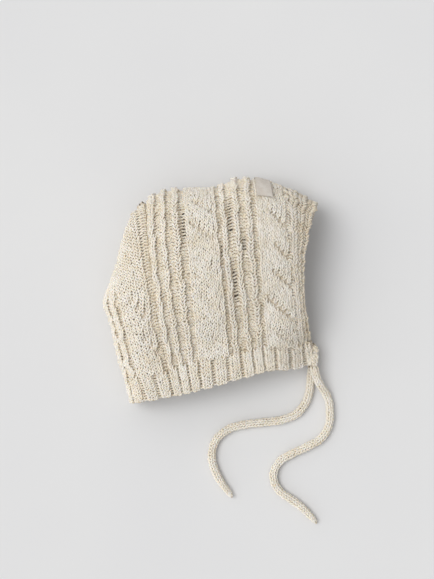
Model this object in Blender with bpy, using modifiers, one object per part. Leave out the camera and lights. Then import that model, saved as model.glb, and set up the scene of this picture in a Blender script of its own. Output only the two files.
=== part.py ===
"""Hand-knitted baby bonnet lying on its side, with a knitted tie at each front corner.

Units are metres and +Z is up. The bonnet rests on its far side. X runs from the back of the
head (-X) to the face opening (+X), Y from the neck edge (-Y) to the crown (+Y). The origin is
below the middle of the bonnet, on the surface it lies on.

The fabric is charted flat, as columns of stitches and shares of a column's length, and each
panel is a flat slab on that chart which is then bent onto the shape of the lying bonnet.
"""
import math
from collections import namedtuple

import bmesh
import bpy
import numpy as np
from mathutils import Vector

# Overall sizes of the lying bonnet
LENGTH = 0.1710  # back corner to face edge, along X
HEIGHT = 0.1780  # neck corner to crown, along Y
TOP_HEIGHT = 0.0600  # floor to the highest part of the near side's wall
FOLD_HEIGHT = 0.0220  # floor to the middle of the crown fold
CORNER_HEIGHT = 0.0145  # floor to the middle of the near wall at the front corner

# Fabric
WALL = 0.0034  # thickness of the knitted wall
RIB_RELIEF = 0.0024  # a rib's top over the groove beside it
CABLE_RELIEF = 0.0028  # a cable's top over the groove beside it
CABLE_TURN = 0.0250  # length of a cable between two crossings
NECK_BAND_WIDTH = 0.0215
NECK_RIB_PITCH = 0.0108  # one rib and one groove of the neck band
GAP = 0.0003  # clearance between two panels
SEAM_GAP = 0.0005  # clearance along the back panel's seam, which twists over the crown
JOIN_GAP = 0.00045  # clearance between a front corner's bunch and the neck band

# Front corners and ties
JOIN_WIDTH = 0.0098
JOIN_LENGTH = 0.0172
JOIN_THICKNESS = 0.0068
JOIN_ROUNDING = 0.0024
TIE_DIAMETER = 0.0068
TIE_TIP_SHARE = 0.62  # a tie's tip diameter as a share of the tie's
TIE_STEP_DIAMETERS = 2.0  # distance between a tie's points
TIE_TIP_POINTS = 2  # the tie narrows over its last points

# Woven label over the crown
LABEL_WIDTH = 0.0136
LABEL_NEAR_REACH = 0.0171  # how far in plan it reaches from the fold, on the near side
LABEL_FAR_REACH = 0.0027  # and on the far side, where it drops steeply
LABEL_THICKNESS = 0.0009

# Stitches across one side, from the back fold to the face edge
SIDE_STITCHES = 63.0
PANEL_STITCHES = 16.0  # of these, the ones behind the main strip
FACE_BAND_START = 58.5
LABEL_MIDDLE_STITCH = 52.4

# Rounding of the folds: plan depth of the rounding over its rise
NEAR_ROUNDNESS = 1.25
FAR_ROUNDNESS = 0.90

# Each row is a line of stitches on the near side, at its neck end, middle and crown end.
# x is a share of LENGTH from the back corner, y a share of HEIGHT from the neck corner.
ColumnLine = namedtuple("ColumnLine", "stitch neck_x neck_y middle_x middle_y crown_x crown_y")
COLUMN_LINES = (
    ColumnLine(16.0, 0.324, 0.037, 0.240, 0.469, 0.196, 0.904),
    ColumnLine(19.5, 0.361, 0.046, 0.281, 0.504, 0.253, 0.934),
    ColumnLine(23.5, 0.402, 0.055, 0.331, 0.522, 0.297, 0.943),
    ColumnLine(27.5, 0.447, 0.066, 0.393, 0.535, 0.358, 0.947),
    ColumnLine(37.0, 0.598, 0.107, 0.553, 0.544, 0.518, 0.956),
    ColumnLine(41.0, 0.662, 0.123, 0.607, 0.557, 0.573, 0.982),
    ColumnLine(45.0, 0.712, 0.138, 0.660, 0.566, 0.632, 0.998),
    ColumnLine(49.0, 0.758, 0.149, 0.717, 0.570, 0.683, 0.991),
    ColumnLine(58.5, 0.909, 0.158, 0.868, 0.557, 0.836, 0.956),
    ColumnLine(63.0, 1.000, 0.184, 0.925, 0.544, 0.991, 0.904),
)

# Each row is a point of the back outline, from the neck corner up to the crown. share is the
# share of the main strip's back line that lies beside it, stitches how many the panel has there.
BackPoint = namedtuple("BackPoint", "share x y stitches")
BACK_OUTLINE = (
    BackPoint(0.000, 0.123, 0.000, 16.0),
    BackPoint(0.130, 0.096, 0.114, 16.0),
    BackPoint(0.240, 0.066, 0.206, 16.0),
    BackPoint(0.350, 0.046, 0.303, 16.0),
    BackPoint(0.450, 0.023, 0.382, 16.0),
    BackPoint(0.540, 0.000, 0.452, 16.0),
    BackPoint(0.610, 0.023, 0.513, 13.6),
    BackPoint(0.720, 0.059, 0.610, 9.6),
    BackPoint(0.830, 0.087, 0.715, 6.4),
    BackPoint(0.930, 0.123, 0.811, 3.2),
    BackPoint(0.985, 0.164, 0.877, 1.0),
    BackPoint(1.000, 0.196, 0.904, 0.3),
)

# Height of the near side's wall as shares of TOP_HEIGHT. y is a share of HEIGHT, and the
# columns stand at 0, 0.3, 0.6, 0.85 and 1 of LENGTH.
HEIGHT_STATIONS = (0.0, 0.3, 0.6, 0.85, 1.0)
HeightRow = namedtuple("HeightRow", "y back rear middle front face")
NEAR_HEIGHTS = (
    HeightRow(0.00, 0.50, 0.55, 0.56, 0.44, 0.30),
    HeightRow(0.16, 0.62, 0.68, 0.66, 0.50, 0.34),
    HeightRow(0.45, 0.72, 0.90, 0.90, 0.78, 0.66),
    HeightRow(0.75, 0.76, 0.95, 0.99, 0.90, 0.80),
    HeightRow(1.00, 0.76, 0.92, 0.98, 0.92, 0.82),
)
FOLD_DROP = 0.30  # the back fold is lower at the neck by this share of FOLD_HEIGHT
# The near side slopes down to the front corner between these shares of LENGTH and of HEIGHT
CORNER_FROM_X = 0.80
CORNER_AT_X = 1.00
CORNER_FROM_Y = 0.42
CORNER_AT_Y = 0.16

# Grooves between the ribs and cables of one side, in stitches from the back fold
Block = namedtuple("Block", "start end cable")
BLOCKS = (
    Block(0.0, 2.5, False),
    Block(2.5, 6.0, False),
    Block(6.0, 15.8, True),
    Block(15.8, 19.5, False),
    Block(19.5, 23.5, False),
    Block(23.5, 27.5, False),
    Block(27.5, 37.0, True),
    Block(37.0, 41.0, False),
    Block(41.0, 45.0, False),
    Block(45.0, 49.0, False),
    Block(49.0, 58.5, True),
    Block(58.5, 63.0, False),
)
CABLE_SLANT = 0.9  # how far a cable's strands cross its width in one turn
CABLE_PINCH = 0.24  # how much lower a cable is between two crossings, as a share
CROWN_PLAIN_FROM = 0.50  # the ribs of the back panel fade into plain fabric from this share
CROWN_PLAIN_AT = 0.64

# Routes of the ties, from the front corner to the tip: the points are chosen by hand
NEAR_TIE_ROUTE = (
    (0.0822, -0.0620, 0.0136),
    (0.0840, -0.0694, 0.0119),
    (0.0876, -0.0768, 0.0088),
    (0.0912, -0.0822, 0.0060),
    (0.0940, -0.0880, 0.0040),
    (0.0956, -0.0990, 0.0036),
    (0.0940, -0.1104, 0.0036),
    (0.0884, -0.1192, 0.0036),
    (0.0764, -0.1264, 0.0036),
    (0.0660, -0.1312, 0.0036),
    (0.0556, -0.1376, 0.0036),
    (0.0508, -0.1456, 0.0036),
    (0.0508, -0.1536, 0.0036),
    (0.0556, -0.1616, 0.0036),
    (0.0644, -0.1680, 0.0036),
    (0.0740, -0.1752, 0.0036),
    (0.0836, -0.1856, 0.0036),
)
FAR_TIE_ROUTE = (
    (0.0806, -0.0620, 0.0037),
    (0.0802, -0.0712, 0.0036),
    (0.0792, -0.0806, 0.0036),
    (0.0762, -0.0904, 0.0036),
    (0.0692, -0.0992, 0.0036),
    (0.0588, -0.1040, 0.0036),
    (0.0436, -0.1064, 0.0036),
    (0.0300, -0.1080, 0.0036),
    (0.0164, -0.1112, 0.0036),
    (0.0068, -0.1176, 0.0036),
    (0.0020, -0.1264, 0.0036),
    (0.0012, -0.1352, 0.0036),
    (0.0036, -0.1448, 0.0036),
    (0.0092, -0.1552, 0.0036),
    (0.0164, -0.1644, 0.0036),
)
ROUTE_STEPS = 600  # steps in which a route's length is measured

# Detail of the faceted walls
RIB_STEPS = 4  # steps across one rib
CABLE_STEPS = 6
PLAIN_ROWS = 11  # rows of a panel between the neck band and the crown fold, on each side
FOLD_ROWS = 6
FOLD_SPAN = 0.24  # share of a column that the crown fold's rounding takes
NECK_BAND_ROWS = 3
NECK_EDGE_SHARE = 0.004  # the neck band's first row, as a share of a column
COLUMN_REACH = 0.83  # a column's length in plan, as a share of HEIGHT
FACE_BAND_STEPS = 4
FOLD_LINE_SHARE = 0.4  # an extra line beside the back fold, as a share of the first step
LEAST_STITCHES = 0.3  # lines of the wall closer than this are merged
LABEL_STEPS = 3
LABEL_NEAR_ROWS = 6
LABEL_FAR_ROWS = 2
ROUNDING_STEPS = 3
TIE_SIDES = 2  # bevel resolution of the ties
OUTLINE_STEPS = 160  # steps of the folded edge's outline on the back, and again on the crown

# Steps in which the slope of the shape is taken: in stitches, in shares across the back panel
# and in shares of a column
STITCH_STEP = 0.02
ACROSS_STEP = 0.002
SHARE_STEP = 0.0004
LEAST_DISTANCE = 1e-6

WOOL = (0.83, 0.79, 0.70)
WOOL_SHADE = (0.80, 0.75, 0.66)
LINEN = (0.72, 0.64, 0.54)
WOOL_ROUGHNESS = 0.9
LINEN_ROUGHNESS = 0.8

OUTER_SKIN = WALL / 2 + RIB_RELIEF / 2
FAR_LEVEL = WALL / 2 + CABLE_RELIEF / 2  # height of the far wall's middle where it lies flat
STITCH_WIDTH = LENGTH / SIDE_STITCHES
EDGE_STITCHES = GAP / 2 / STITCH_WIDTH
SEAM_STITCHES = SEAM_GAP / 2 / STITCH_WIDTH


def smooth_through(knots, values, at):
    """A smooth curve through values at the knots, read at the given places."""
    knots = np.asarray(knots, float)
    values = np.asarray(values, float)
    at = np.clip(np.asarray(at, float), knots[0], knots[-1])
    slopes = np.gradient(values, knots)
    place = np.clip(np.searchsorted(knots, at, side="right") - 1, 0, len(knots) - 2)
    span = knots[place + 1] - knots[place]
    u = (at - knots[place]) / span
    start = (1 + 2 * u) * (1 - u) ** 2 * values[place] + u * (1 - u) ** 2 * span * slopes[place]
    end = u * u * (3 - 2 * u) * values[place + 1] - u * u * (1 - u) * span * slopes[place + 1]
    return start + end


def smooth_step(low, high, value):
    """Rises smoothly from 0 at low to 1 at high."""
    u = np.clip((value - low) / (high - low), 0.0, 1.0)
    return u * u * (3 - 2 * u)


def table_column(rows, field):
    """One named column of a table."""
    return [getattr(row, field) for row in rows]


def strip_plan(stitch, share):
    """Place in plan, as shares, of a stitch of the main strip at a share of its column."""
    stitches = table_column(COLUMN_LINES, "stitch")
    ends = []
    for axis in "xy":
        neck, middle, crown = (
            smooth_through(stitches, table_column(COLUMN_LINES, f"{level}_{axis}"), stitch)
            for level in ("neck", "middle", "crown")
        )
        weight_neck = (1 - share) * (1 - 2 * share)
        weight_middle = 4 * share * (1 - share)
        weight_crown = share * (2 * share - 1)
        ends.append(weight_neck * neck + weight_middle * middle + weight_crown * crown)
    return ends


def back_plan(share):
    """Place in plan, as shares, of the back outline beside a share of the strip's back line."""
    shares = table_column(BACK_OUTLINE, "share")
    return [smooth_through(shares, table_column(BACK_OUTLINE, axis), share) for axis in "xy"]


def panel_stitches(share):
    """Stitches between the back outline and the main strip at a share of the column."""
    shares = table_column(BACK_OUTLINE, "share")
    return np.interp(share, shares, table_column(BACK_OUTLINE, "stitches"))


def fold_outline():
    """The whole folded edge in plan, from the neck corner round the back to the face."""
    back = np.stack(back_plan(np.linspace(0, 1, OUTLINE_STEPS + 1)), -1)
    strip = np.linspace(PANEL_STITCHES, SIDE_STITCHES, OUTLINE_STEPS + 1)
    crown = np.stack(strip_plan(strip, np.ones_like(strip)), -1)
    return np.concatenate([back, crown[1:]])


FOLD_OUTLINE = fold_outline() * (LENGTH, HEIGHT)


def fold_distance(x, y):
    """Plan distance from points, in metres from the back and the neck, to the folded edge.

    Each piece of the edge counts by the inverse cube of its distance, which rounds the distance
    off inside corners. Beside a long straight edge it is the plain distance.
    """
    points = np.stack([x, y], -1)[..., None, :]
    way = np.diff(FOLD_OUTLINE, axis=0)
    length = np.linalg.norm(way, axis=-1)
    towards = FOLD_OUTLINE[:-1] - points
    begin = (towards * way / length[:, None]).sum(-1)
    end = begin + length
    aside = np.maximum((towards**2).sum(-1) - begin**2, LEAST_DISTANCE**2)
    pull = (end / np.sqrt(aside + end**2) - begin / np.sqrt(aside + begin**2)) / aside
    return np.sqrt(2 / pull.sum(-1))


def near_level(x_share, y_share):
    """Height of the near wall's middle, away from its folds."""
    rows = np.stack(
        [
            smooth_through(HEIGHT_STATIONS, row[1:], x_share)
            for row in NEAR_HEIGHTS
        ],
        0,
    )
    levels = table_column(NEAR_HEIGHTS, "y")
    place = np.clip(np.searchsorted(levels, y_share, side="right") - 1, 0, len(levels) - 2)
    low = np.take_along_axis(rows, place[None], 0)[0]
    high = np.take_along_axis(rows, place[None] + 1, 0)[0]
    knots = np.asarray(levels)
    blend = smooth_step(knots[place], knots[place + 1], y_share)
    level = TOP_HEIGHT * (low + (high - low) * blend)
    corner_x = smooth_step(CORNER_FROM_X, CORNER_AT_X, x_share)
    corner = corner_x * smooth_step(CORNER_FROM_Y, CORNER_AT_Y, y_share)
    return level + (CORNER_HEIGHT - level) * corner


def fold_level(y_share):
    """Height of the folded edge's middle."""
    return FOLD_HEIGHT * (1 - FOLD_DROP * (1 - np.clip(y_share, 0, 1)))


def round_over(distance, rise, roundness):
    """Share of the rise that an elliptical fold has reached at a distance from its edge."""
    inside = np.clip(distance / (roundness * rise), 0, 1)
    return np.sqrt(np.clip(1 - (1 - inside) ** 2, 0, 1))


def surface(x_share, y_share, near):
    """World places of the wall's middle for shares of the plan, near side where near is true."""
    x = x_share * LENGTH
    y = y_share * HEIGHT
    distance = fold_distance(x, y)
    middle = fold_level(y_share)
    rise = np.maximum(near_level(x_share, y_share) - middle, 0.0)
    drop = middle - FAR_LEVEL
    near_z = middle + rise * round_over(distance, np.maximum(rise, OUTER_SKIN), NEAR_ROUNDNESS)
    low_corner = np.minimum(near_level(x_share, y_share) - middle, 0.0)
    near_z = near_z + low_corner * smooth_step(0.0, 2 * FOLD_HEIGHT, distance)
    far_z = middle - drop * round_over(distance, drop, FAR_ROUNDNESS)
    inset_x = OUTER_SKIN * (1 - x_share)
    inset_y = OUTER_SKIN * y_share
    world_x = x - LENGTH / 2 + inset_x
    world_y = y - HEIGHT / 2 - inset_y
    return np.stack([world_x, world_y, np.where(near, near_z, far_z)], -1)


def strip_place(stitch, way):
    """Middle of the wall on the strip. way is 0 at the near neck edge, 1 at the crown, 2 far."""
    share = 1 - np.abs(way - 1)
    return surface(*strip_plan(stitch, share), way <= 1)


def girth_to_plan(across, width, rise, roundness):
    """Plan share of a row that lies at a share of its girth from the folded edge."""
    depth = np.minimum(roundness * rise, width)
    arc = math.pi / 2 * np.sqrt((depth**2 + rise**2) / 2)
    girth = across * (width - depth + arc)
    rounded = depth * (1 - np.cos(math.pi / 2 * np.clip(girth / arc, 0, 1)))
    return (rounded + np.clip(girth - arc, 0, None)) / width


def panel_place(across, share):
    """Middle of the wall on the back panel. across is 1 at the near strip, 0 at the fold, -1 far."""
    near = across >= 0
    back_x, back_y = back_plan(share)
    strip_x, strip_y = strip_plan(np.full_like(share, PANEL_STITCHES), share)
    width = np.hypot((strip_x - back_x) * LENGTH, (strip_y - back_y) * HEIGHT)
    middle = fold_level(back_y)
    rise = np.where(near, near_level(back_x, back_y) - middle, middle - FAR_LEVEL)
    roundness = np.where(near, NEAR_ROUNDNESS, FAR_ROUNDNESS)
    rise = np.minimum(rise, width / roundness)
    inward = girth_to_plan(np.abs(across), width, rise, roundness)
    x_share = back_x + (strip_x - back_x) * inward
    y_share = back_y + (strip_y - back_y) * inward
    return surface(x_share, y_share, near)


def band_place(stitch, share):
    """Middle of the wall round the neck. The near side's stitches count up, the far side's down."""
    count = np.abs(stitch)
    on_strip = strip_plan(np.maximum(count, PANEL_STITCHES), share)
    strip = surface(*on_strip, stitch >= 0)
    across = np.clip(stitch / PANEL_STITCHES, -1, 1)
    panel = panel_place(across, share)
    return np.where((count > PANEL_STITCHES)[..., None], strip, panel)


def outward(place, first, second, step_first, step_second):
    """Unit normals of a surface given by its place function."""
    along_first = place(first + step_first, second) - place(first - step_first, second)
    along_second = place(first, second + step_second) - place(first, second - step_second)
    normal = np.cross(along_first, along_second)
    return normal / np.linalg.norm(normal, axis=-1, keepdims=True)


def fabric_relief(stitch, share):
    """How far ribs and cables stand out from the wall's middle, at a stitch and column share."""
    relief = np.zeros_like(stitch)
    length = share * (HEIGHT - NECK_BAND_WIDTH)
    for block in BLOCKS:
        u = (stitch - block.start) / (block.end - block.start)
        inside = (u >= 0) & (u <= 1)
        arch = np.sin(math.pi * np.clip(u, 0, 1))
        if block.cable:
            turn = length / CABLE_TURN + CABLE_SLANT * (u - 0.5)
            rope = 1 - CABLE_PINCH + CABLE_PINCH * np.cos(2 * math.pi * turn)
            height = CABLE_RELIEF * np.sqrt(arch) * rope - CABLE_RELIEF / 2
        else:
            height = RIB_RELIEF * arch - RIB_RELIEF / 2
        relief = np.where(inside, height, relief)
    return relief


def strip_relief(stitch, way):
    """Relief of the main strip and the face band."""
    return fabric_relief(stitch, 1 - np.abs(way - 1))


def panel_relief(across, share):
    """Relief of the back panel, whose ribs fade into the plain crown."""
    count = panel_stitches(share)
    stitch = PANEL_STITCHES - count * (1 - np.abs(across))
    plain = smooth_step(CROWN_PLAIN_FROM, CROWN_PLAIN_AT, share)
    return fabric_relief(stitch, share) * (1 - plain)


def band_relief(stitch, share):
    """Relief of the neck band's ribs."""
    pitch = NECK_RIB_PITCH / STITCH_WIDTH
    wave = np.cos(2 * math.pi * (np.abs(stitch) / pitch + 0.5))
    return RIB_RELIEF / 2 * wave


def plain_relief(stitch, way):
    """Relief of a piece that has none."""
    return np.zeros_like(stitch)


def flat_slab(name, columns, rows, thickness):
    """Mesh of a flat slab on the chart, thick about its middle, with the given lines."""
    mesh = bpy.data.meshes.new(name)
    grid = bmesh.new()
    across = len(columns) - 1
    along = len(rows) - 1
    bmesh.ops.create_grid(grid, x_segments=across, y_segments=along, size=0.5)
    for vertex in grid.verts:
        column = columns[round((vertex.co.x + 0.5) * across)]
        row = rows[round((vertex.co.y + 0.5) * along)]
        vertex.co = (column, row, 0.0)
    grid.to_mesh(mesh)
    grid.free()
    blank = bpy.data.objects.new(name, mesh)
    bpy.context.scene.collection.objects.link(blank)
    wall = blank.modifiers.new("wall", "SOLIDIFY")
    wall.thickness = thickness
    wall.offset = 0.0
    graph = bpy.context.evaluated_depsgraph_get()
    slab = bpy.data.meshes.new_from_object(blank.evaluated_get(graph))
    bpy.data.objects.remove(blank)
    slab.name = name
    return slab


def bend(mesh, place, relief, steps, lift=0.0):
    """Bends a flat slab onto the bonnet: its chart places become places on the wall."""
    flat = np.empty(len(mesh.vertices) * 3)
    mesh.vertices.foreach_get("co", flat)
    flat = flat.reshape(-1, 3)
    first, second, height = flat.T
    normal = outward(place, first, second, *steps)
    out = height + lift + relief(first, second)
    bent = place(first, second) + normal * out[:, None]
    mesh.vertices.foreach_set("co", bent.ravel())
    mesh.update()


def make_material(name, colour, roughness):
    """A plain finish for one part."""
    material = bpy.data.materials.new(name)
    material.use_nodes = True
    shader = material.node_tree.nodes["Principled BSDF"]
    shader.inputs["Base Color"].default_value = (*colour, 1.0)
    shader.inputs["Roughness"].default_value = roughness
    shader.inputs["Metallic"].default_value = 0.0
    return material


def add_part(name, mesh, colour, collection, roughness=WOOL_ROUGHNESS):
    """Puts a finished mesh in the collection as one part with its own finish."""
    mesh.shade_smooth()
    mesh.materials.clear()
    mesh.materials.append(make_material(name, colour, roughness))
    part = bpy.data.objects.new(name, mesh)
    collection.objects.link(part)
    return part


def rib_lines(blocks, low, high):
    """Chart columns across the blocks between two stitches, closer where the relief turns."""
    lines = [low, high]
    for block in blocks:
        steps = CABLE_STEPS if block.cable else RIB_STEPS
        lines += list(np.linspace(block.start, block.end, steps + 1))
    inside = sorted({round(float(line), 6) for line in lines if low <= line <= high})
    kept = [inside[0]]
    for line in inside[1:-1]:
        if line - kept[-1] > LEAST_STITCHES and high - line > LEAST_STITCHES:
            kept.append(line)
    return np.array(kept + [inside[-1]])


def rounded_steps(count, reach):
    """Places from 0 to reach that bunch towards 0, where a fold turns fastest."""
    angles = np.linspace(0, math.pi / 2, count + 1)
    return reach * (1 - np.cos(angles))


def side_rows():
    """Shares of a column at which the panels have a row, from the neck band to the crown."""
    plain = np.linspace(band_share() + row_gap(), 1 - FOLD_SPAN, PLAIN_ROWS + 1)
    fold = 1 - rounded_steps(FOLD_ROWS, FOLD_SPAN)
    return np.concatenate([plain, fold[-2::-1]])


def strip_rows():
    """Chart rows of a panel that runs from the near side over the crown to the far side."""
    side = side_rows()
    return np.concatenate([side, 2 - side[-2::-1]])


def band_share():
    """Share of a column that the neck band takes."""
    return NECK_BAND_WIDTH / (HEIGHT - OUTER_SKIN)


def row_gap():
    """Half of the clearance between two panels, as a share of a column."""
    return GAP / 2 / (COLUMN_REACH * HEIGHT)


def make_main_strip(collection):
    """The ribbed and cabled strip from the near neck band over the crown to the far one."""
    low = PANEL_STITCHES + SEAM_STITCHES
    high = FACE_BAND_START - EDGE_STITCHES
    slab = flat_slab("hood_strip", rib_lines(BLOCKS, low, high), strip_rows(), WALL)
    bend(slab, strip_place, strip_relief, (STITCH_STEP, SHARE_STEP))
    return add_part("hood_strip", slab, WOOL, collection)


def make_back_panel(collection):
    """The panel round the back of the head: two ribs, a cable and the plain crown."""
    edge = 1 - SEAM_STITCHES / PANEL_STITCHES
    lines = rib_lines(BLOCKS, 0.0, PANEL_STITCHES * edge) / PANEL_STITCHES
    half = np.concatenate([[lines[1] * FOLD_LINE_SHARE], lines[1:]])
    across = np.concatenate([-half[::-1], [0.0], half])
    slab = flat_slab("back_panel", across, side_rows()[:-1], WALL)
    bend(slab, panel_place, panel_relief, (ACROSS_STEP, SHARE_STEP))
    return add_part("back_panel", slab, WOOL, collection)


def make_face_band(collection):
    """The narrow band along the face opening, over the crown from corner to corner."""
    low = FACE_BAND_START + EDGE_STITCHES
    lines = np.linspace(low, SIDE_STITCHES - STITCH_STEP, FACE_BAND_STEPS + 1)
    slab = flat_slab("face_band", lines, strip_rows(), WALL)
    bend(slab, strip_place, strip_relief, (STITCH_STEP, SHARE_STEP))
    return add_part("face_band", slab, WOOL_SHADE, collection)


def make_neck_band(collection):
    """The ribbed band round the neck edge, from the near front corner to the far one."""
    pitch = NECK_RIB_PITCH / STITCH_WIDTH
    join_side = 1 - (JOIN_WIDTH + JOIN_GAP) / LENGTH
    lines = table_column(COLUMN_LINES, "neck_x")
    end = float(np.interp(join_side, lines, table_column(COLUMN_LINES, "stitch")))
    half = np.linspace(0, end, int(end / pitch * RIB_STEPS) + 1)[1:]
    half = np.concatenate([[half[0] * FOLD_LINE_SHARE], half])
    stitches = np.concatenate([-half[::-1], [0.0], half])
    rows = np.linspace(NECK_EDGE_SHARE, band_share() - row_gap(), NECK_BAND_ROWS + 1)
    slab = flat_slab("neck_band", stitches, rows, WALL)
    bend(slab, band_place, band_relief, (STITCH_STEP, SHARE_STEP))
    return add_part("neck_band", slab, WOOL, collection)


def make_label(collection):
    """The plain woven label that lies over the crown fold."""
    half = LABEL_WIDTH / 2 / STITCH_WIDTH
    lines = np.linspace(LABEL_MIDDLE_STITCH - half, LABEL_MIDDLE_STITCH + half, LABEL_STEPS + 1)
    near = rounded_steps(LABEL_NEAR_ROWS, LABEL_NEAR_REACH / HEIGHT)
    far = rounded_steps(LABEL_FAR_ROWS, LABEL_FAR_REACH / HEIGHT)
    rows = np.concatenate([1 - near[::-1], 1 + far[1:]])
    slab = flat_slab("label", lines, rows, LABEL_THICKNESS)
    lift = WALL / 2 + CABLE_RELIEF / 2 + GAP + LABEL_THICKNESS / 2
    bend(slab, strip_place, plain_relief, (STITCH_STEP, SHARE_STEP), lift)
    return add_part("label", slab, LINEN, collection, LINEN_ROUGHNESS)


def make_join(name, middle, collection):
    """A bunched corner of stitches where the bands meet and a tie begins."""
    mesh = bpy.data.meshes.new(name)
    block = bmesh.new()
    bmesh.ops.create_cube(block, size=1.0)
    sizes = (JOIN_WIDTH, JOIN_LENGTH, JOIN_THICKNESS)
    for vertex in block.verts:
        vertex.co = [side * size for side, size in zip(vertex.co, sizes)]
    block.to_mesh(mesh)
    block.free()
    part = add_part(name, mesh, WOOL_SHADE, collection)
    part.location = middle
    rounding = part.modifiers.new("rounding", "BEVEL")
    rounding.width = JOIN_ROUNDING
    rounding.segments = ROUNDING_STEPS
    return part


def smooth_route(points, step):
    """Evenly spaced places on a smooth curve through a route's own points."""
    route = np.array(points)
    apart = np.concatenate([[0], np.cumsum(np.linalg.norm(np.diff(route, axis=0), axis=1))])
    fine = np.linspace(0, apart[-1], ROUTE_STEPS)
    line = np.stack([smooth_through(apart, route[:, axis], fine) for axis in range(3)], -1)
    run = np.concatenate([[0], np.cumsum(np.linalg.norm(np.diff(line, axis=0), axis=1))])
    count = int(run[-1] / step) + 1
    even = np.linspace(0, run[-1], count)
    return np.stack([np.interp(even, run, line[:, axis]) for axis in range(3)], -1)


def make_tie(name, route, collection):
    """One knitted tie: a round cord along its route, slimmer at its tip."""
    places = smooth_route(route, TIE_STEP_DIAMETERS * TIE_DIAMETER)
    curve = bpy.data.curves.new(name, "CURVE")
    curve.dimensions = "3D"
    curve.bevel_depth = TIE_DIAMETER / 2
    curve.bevel_resolution = TIE_SIDES
    curve.use_fill_caps = True
    spline = curve.splines.new("POLY")
    spline.points.add(len(places) - 1)
    for order, (point, place) in enumerate(zip(spline.points, places)):
        left = (len(places) - 1 - order) / TIE_TIP_POINTS
        point.co = (*place, 1.0)
        point.radius = TIE_TIP_SHARE + (1 - TIE_TIP_SHARE) * min(left, 1.0)
    curve.materials.append(make_material(name, WOOL, WOOL_ROUGHNESS))
    part = bpy.data.objects.new(name, curve)
    collection.objects.link(part)
    return part


def set_down(collection):
    """Moves all parts together so that the bonnet lies on the floor over the origin."""
    bpy.context.view_layer.update()
    corners = np.array(
        [
            part.matrix_world @ Vector(corner)
            for part in collection.objects
            if part.type == "MESH"
            for corner in part.bound_box
        ]
    )
    low, high = corners.min(0), corners.max(0)
    shift = Vector((-(low[0] + high[0]) / 2, -(low[1] + high[1]) / 2, -low[2]))
    for part in collection.objects:
        part.location += shift


def main():
    """Builds the bonnet's parts in their collection."""
    for old in list(bpy.data.objects):
        bpy.data.objects.remove(old)
    collection = bpy.data.collections.new("baby_bonnet")
    bpy.context.scene.collection.children.link(collection)
    make_main_strip(collection)
    make_back_panel(collection)
    make_face_band(collection)
    make_neck_band(collection)
    make_label(collection)
    band_end = strip_place(np.array([FACE_BAND_START]), np.array([band_share() + row_gap()]))[0]
    corner_x = LENGTH / 2 - JOIN_WIDTH / 2
    corner_y = band_end[1] - GAP - JOIN_LENGTH / 2
    make_join("tie_join_near", (corner_x, corner_y, CORNER_HEIGHT), collection)
    make_join("tie_join_far", (corner_x, corner_y, JOIN_THICKNESS / 2), collection)
    make_tie("tie_near", NEAR_TIE_ROUTE, collection)
    make_tie("tie_far", FAR_TIE_ROUTE, collection)
    set_down(collection)


main()
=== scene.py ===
"""Looks of a hand-knitted baby bonnet that lies on its side, with a knitted tie at each corner.

Every stitch is a loop of yarn. A chart of knit and purl columns gives each stitch its place on
the bonnet's lying shape, and a Geometry Nodes tree bends the yarn of each course into loops and
sweeps it round. Metres, +Z up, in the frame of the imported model.
"""

import logging
import math
from collections.abc import Callable
from dataclasses import dataclass, field
from enum import Enum
from typing import NamedTuple

import bmesh
import bpy
import numpy as np
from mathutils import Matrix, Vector


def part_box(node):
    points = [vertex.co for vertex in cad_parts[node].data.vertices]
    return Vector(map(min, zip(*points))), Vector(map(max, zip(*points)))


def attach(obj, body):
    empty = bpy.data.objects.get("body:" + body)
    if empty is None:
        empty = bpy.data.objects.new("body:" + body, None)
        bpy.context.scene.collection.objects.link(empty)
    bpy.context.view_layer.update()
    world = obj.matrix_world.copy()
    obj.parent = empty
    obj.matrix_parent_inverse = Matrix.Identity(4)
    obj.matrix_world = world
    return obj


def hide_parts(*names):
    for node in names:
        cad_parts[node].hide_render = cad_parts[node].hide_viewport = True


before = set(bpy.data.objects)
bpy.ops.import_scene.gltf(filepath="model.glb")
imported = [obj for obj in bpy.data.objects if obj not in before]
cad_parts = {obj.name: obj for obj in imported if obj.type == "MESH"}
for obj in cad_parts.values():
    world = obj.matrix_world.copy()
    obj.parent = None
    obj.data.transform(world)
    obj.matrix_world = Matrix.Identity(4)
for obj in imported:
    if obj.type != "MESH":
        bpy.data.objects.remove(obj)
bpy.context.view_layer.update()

LOG = logging.getLogger("bonnet")
BODY = "root"
Array = np.ndarray
Socket = bpy.types.NodeSocket
Object = bpy.types.Object
Material = bpy.types.Material
Colour = tuple[float, float, float]
WHITE = (1.0, 1.0, 1.0)
SMALLEST = 1e-12
FLOOR_GAP = 0.0001  # between the floor and the yarn that lies on it
FUZZ_FROM = 0.004  # height over the floor from which fibres stand off the yarn
WEB_SINK = 0.0010  # how far the web lies behind the middle of its yarn
GROOVE_SHADE_LIFT = -0.0018  # a stitch this low is painted the wool's darkest groove shade
RAISED_LIGHT_LIFT = 0.0018  # and one this high its palest painted light
FACE_BAND_FROM = 59.0  # place across at which the seam ends and the face band starts
EDGE_CURL_AT = 63.5  # place across at which the face edge would be wholly curled under
GRID_STEP = 0.5  # stitches and rows between the lines of a fine grid
LEAST_ACROSS = 0.02  # nearest that a stitch of the panel comes to the back fold, as a share
STITCH_KEPT = 0.25  # share of a stitch that the panel may lack room for and still have it
YARN_WORKINGS = ("across", "along", "outward", "away", "turn", "thickness")
SEEDS = {
    "hood_rear_near": 11,
    "hood_front_near": 12,
    "hood_rear_far": 13,
    "hood_front_far": 14,
    "face_band_yarn": 15,
    "back_panel_yarn": 16,
    "neck_band_yarn": 17,
    "tie_near_yarn": 31,
    "tie_far_yarn": 32,
    "corner_near_yarn": 33,
    "corner_far_yarn": 34,
}


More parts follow.
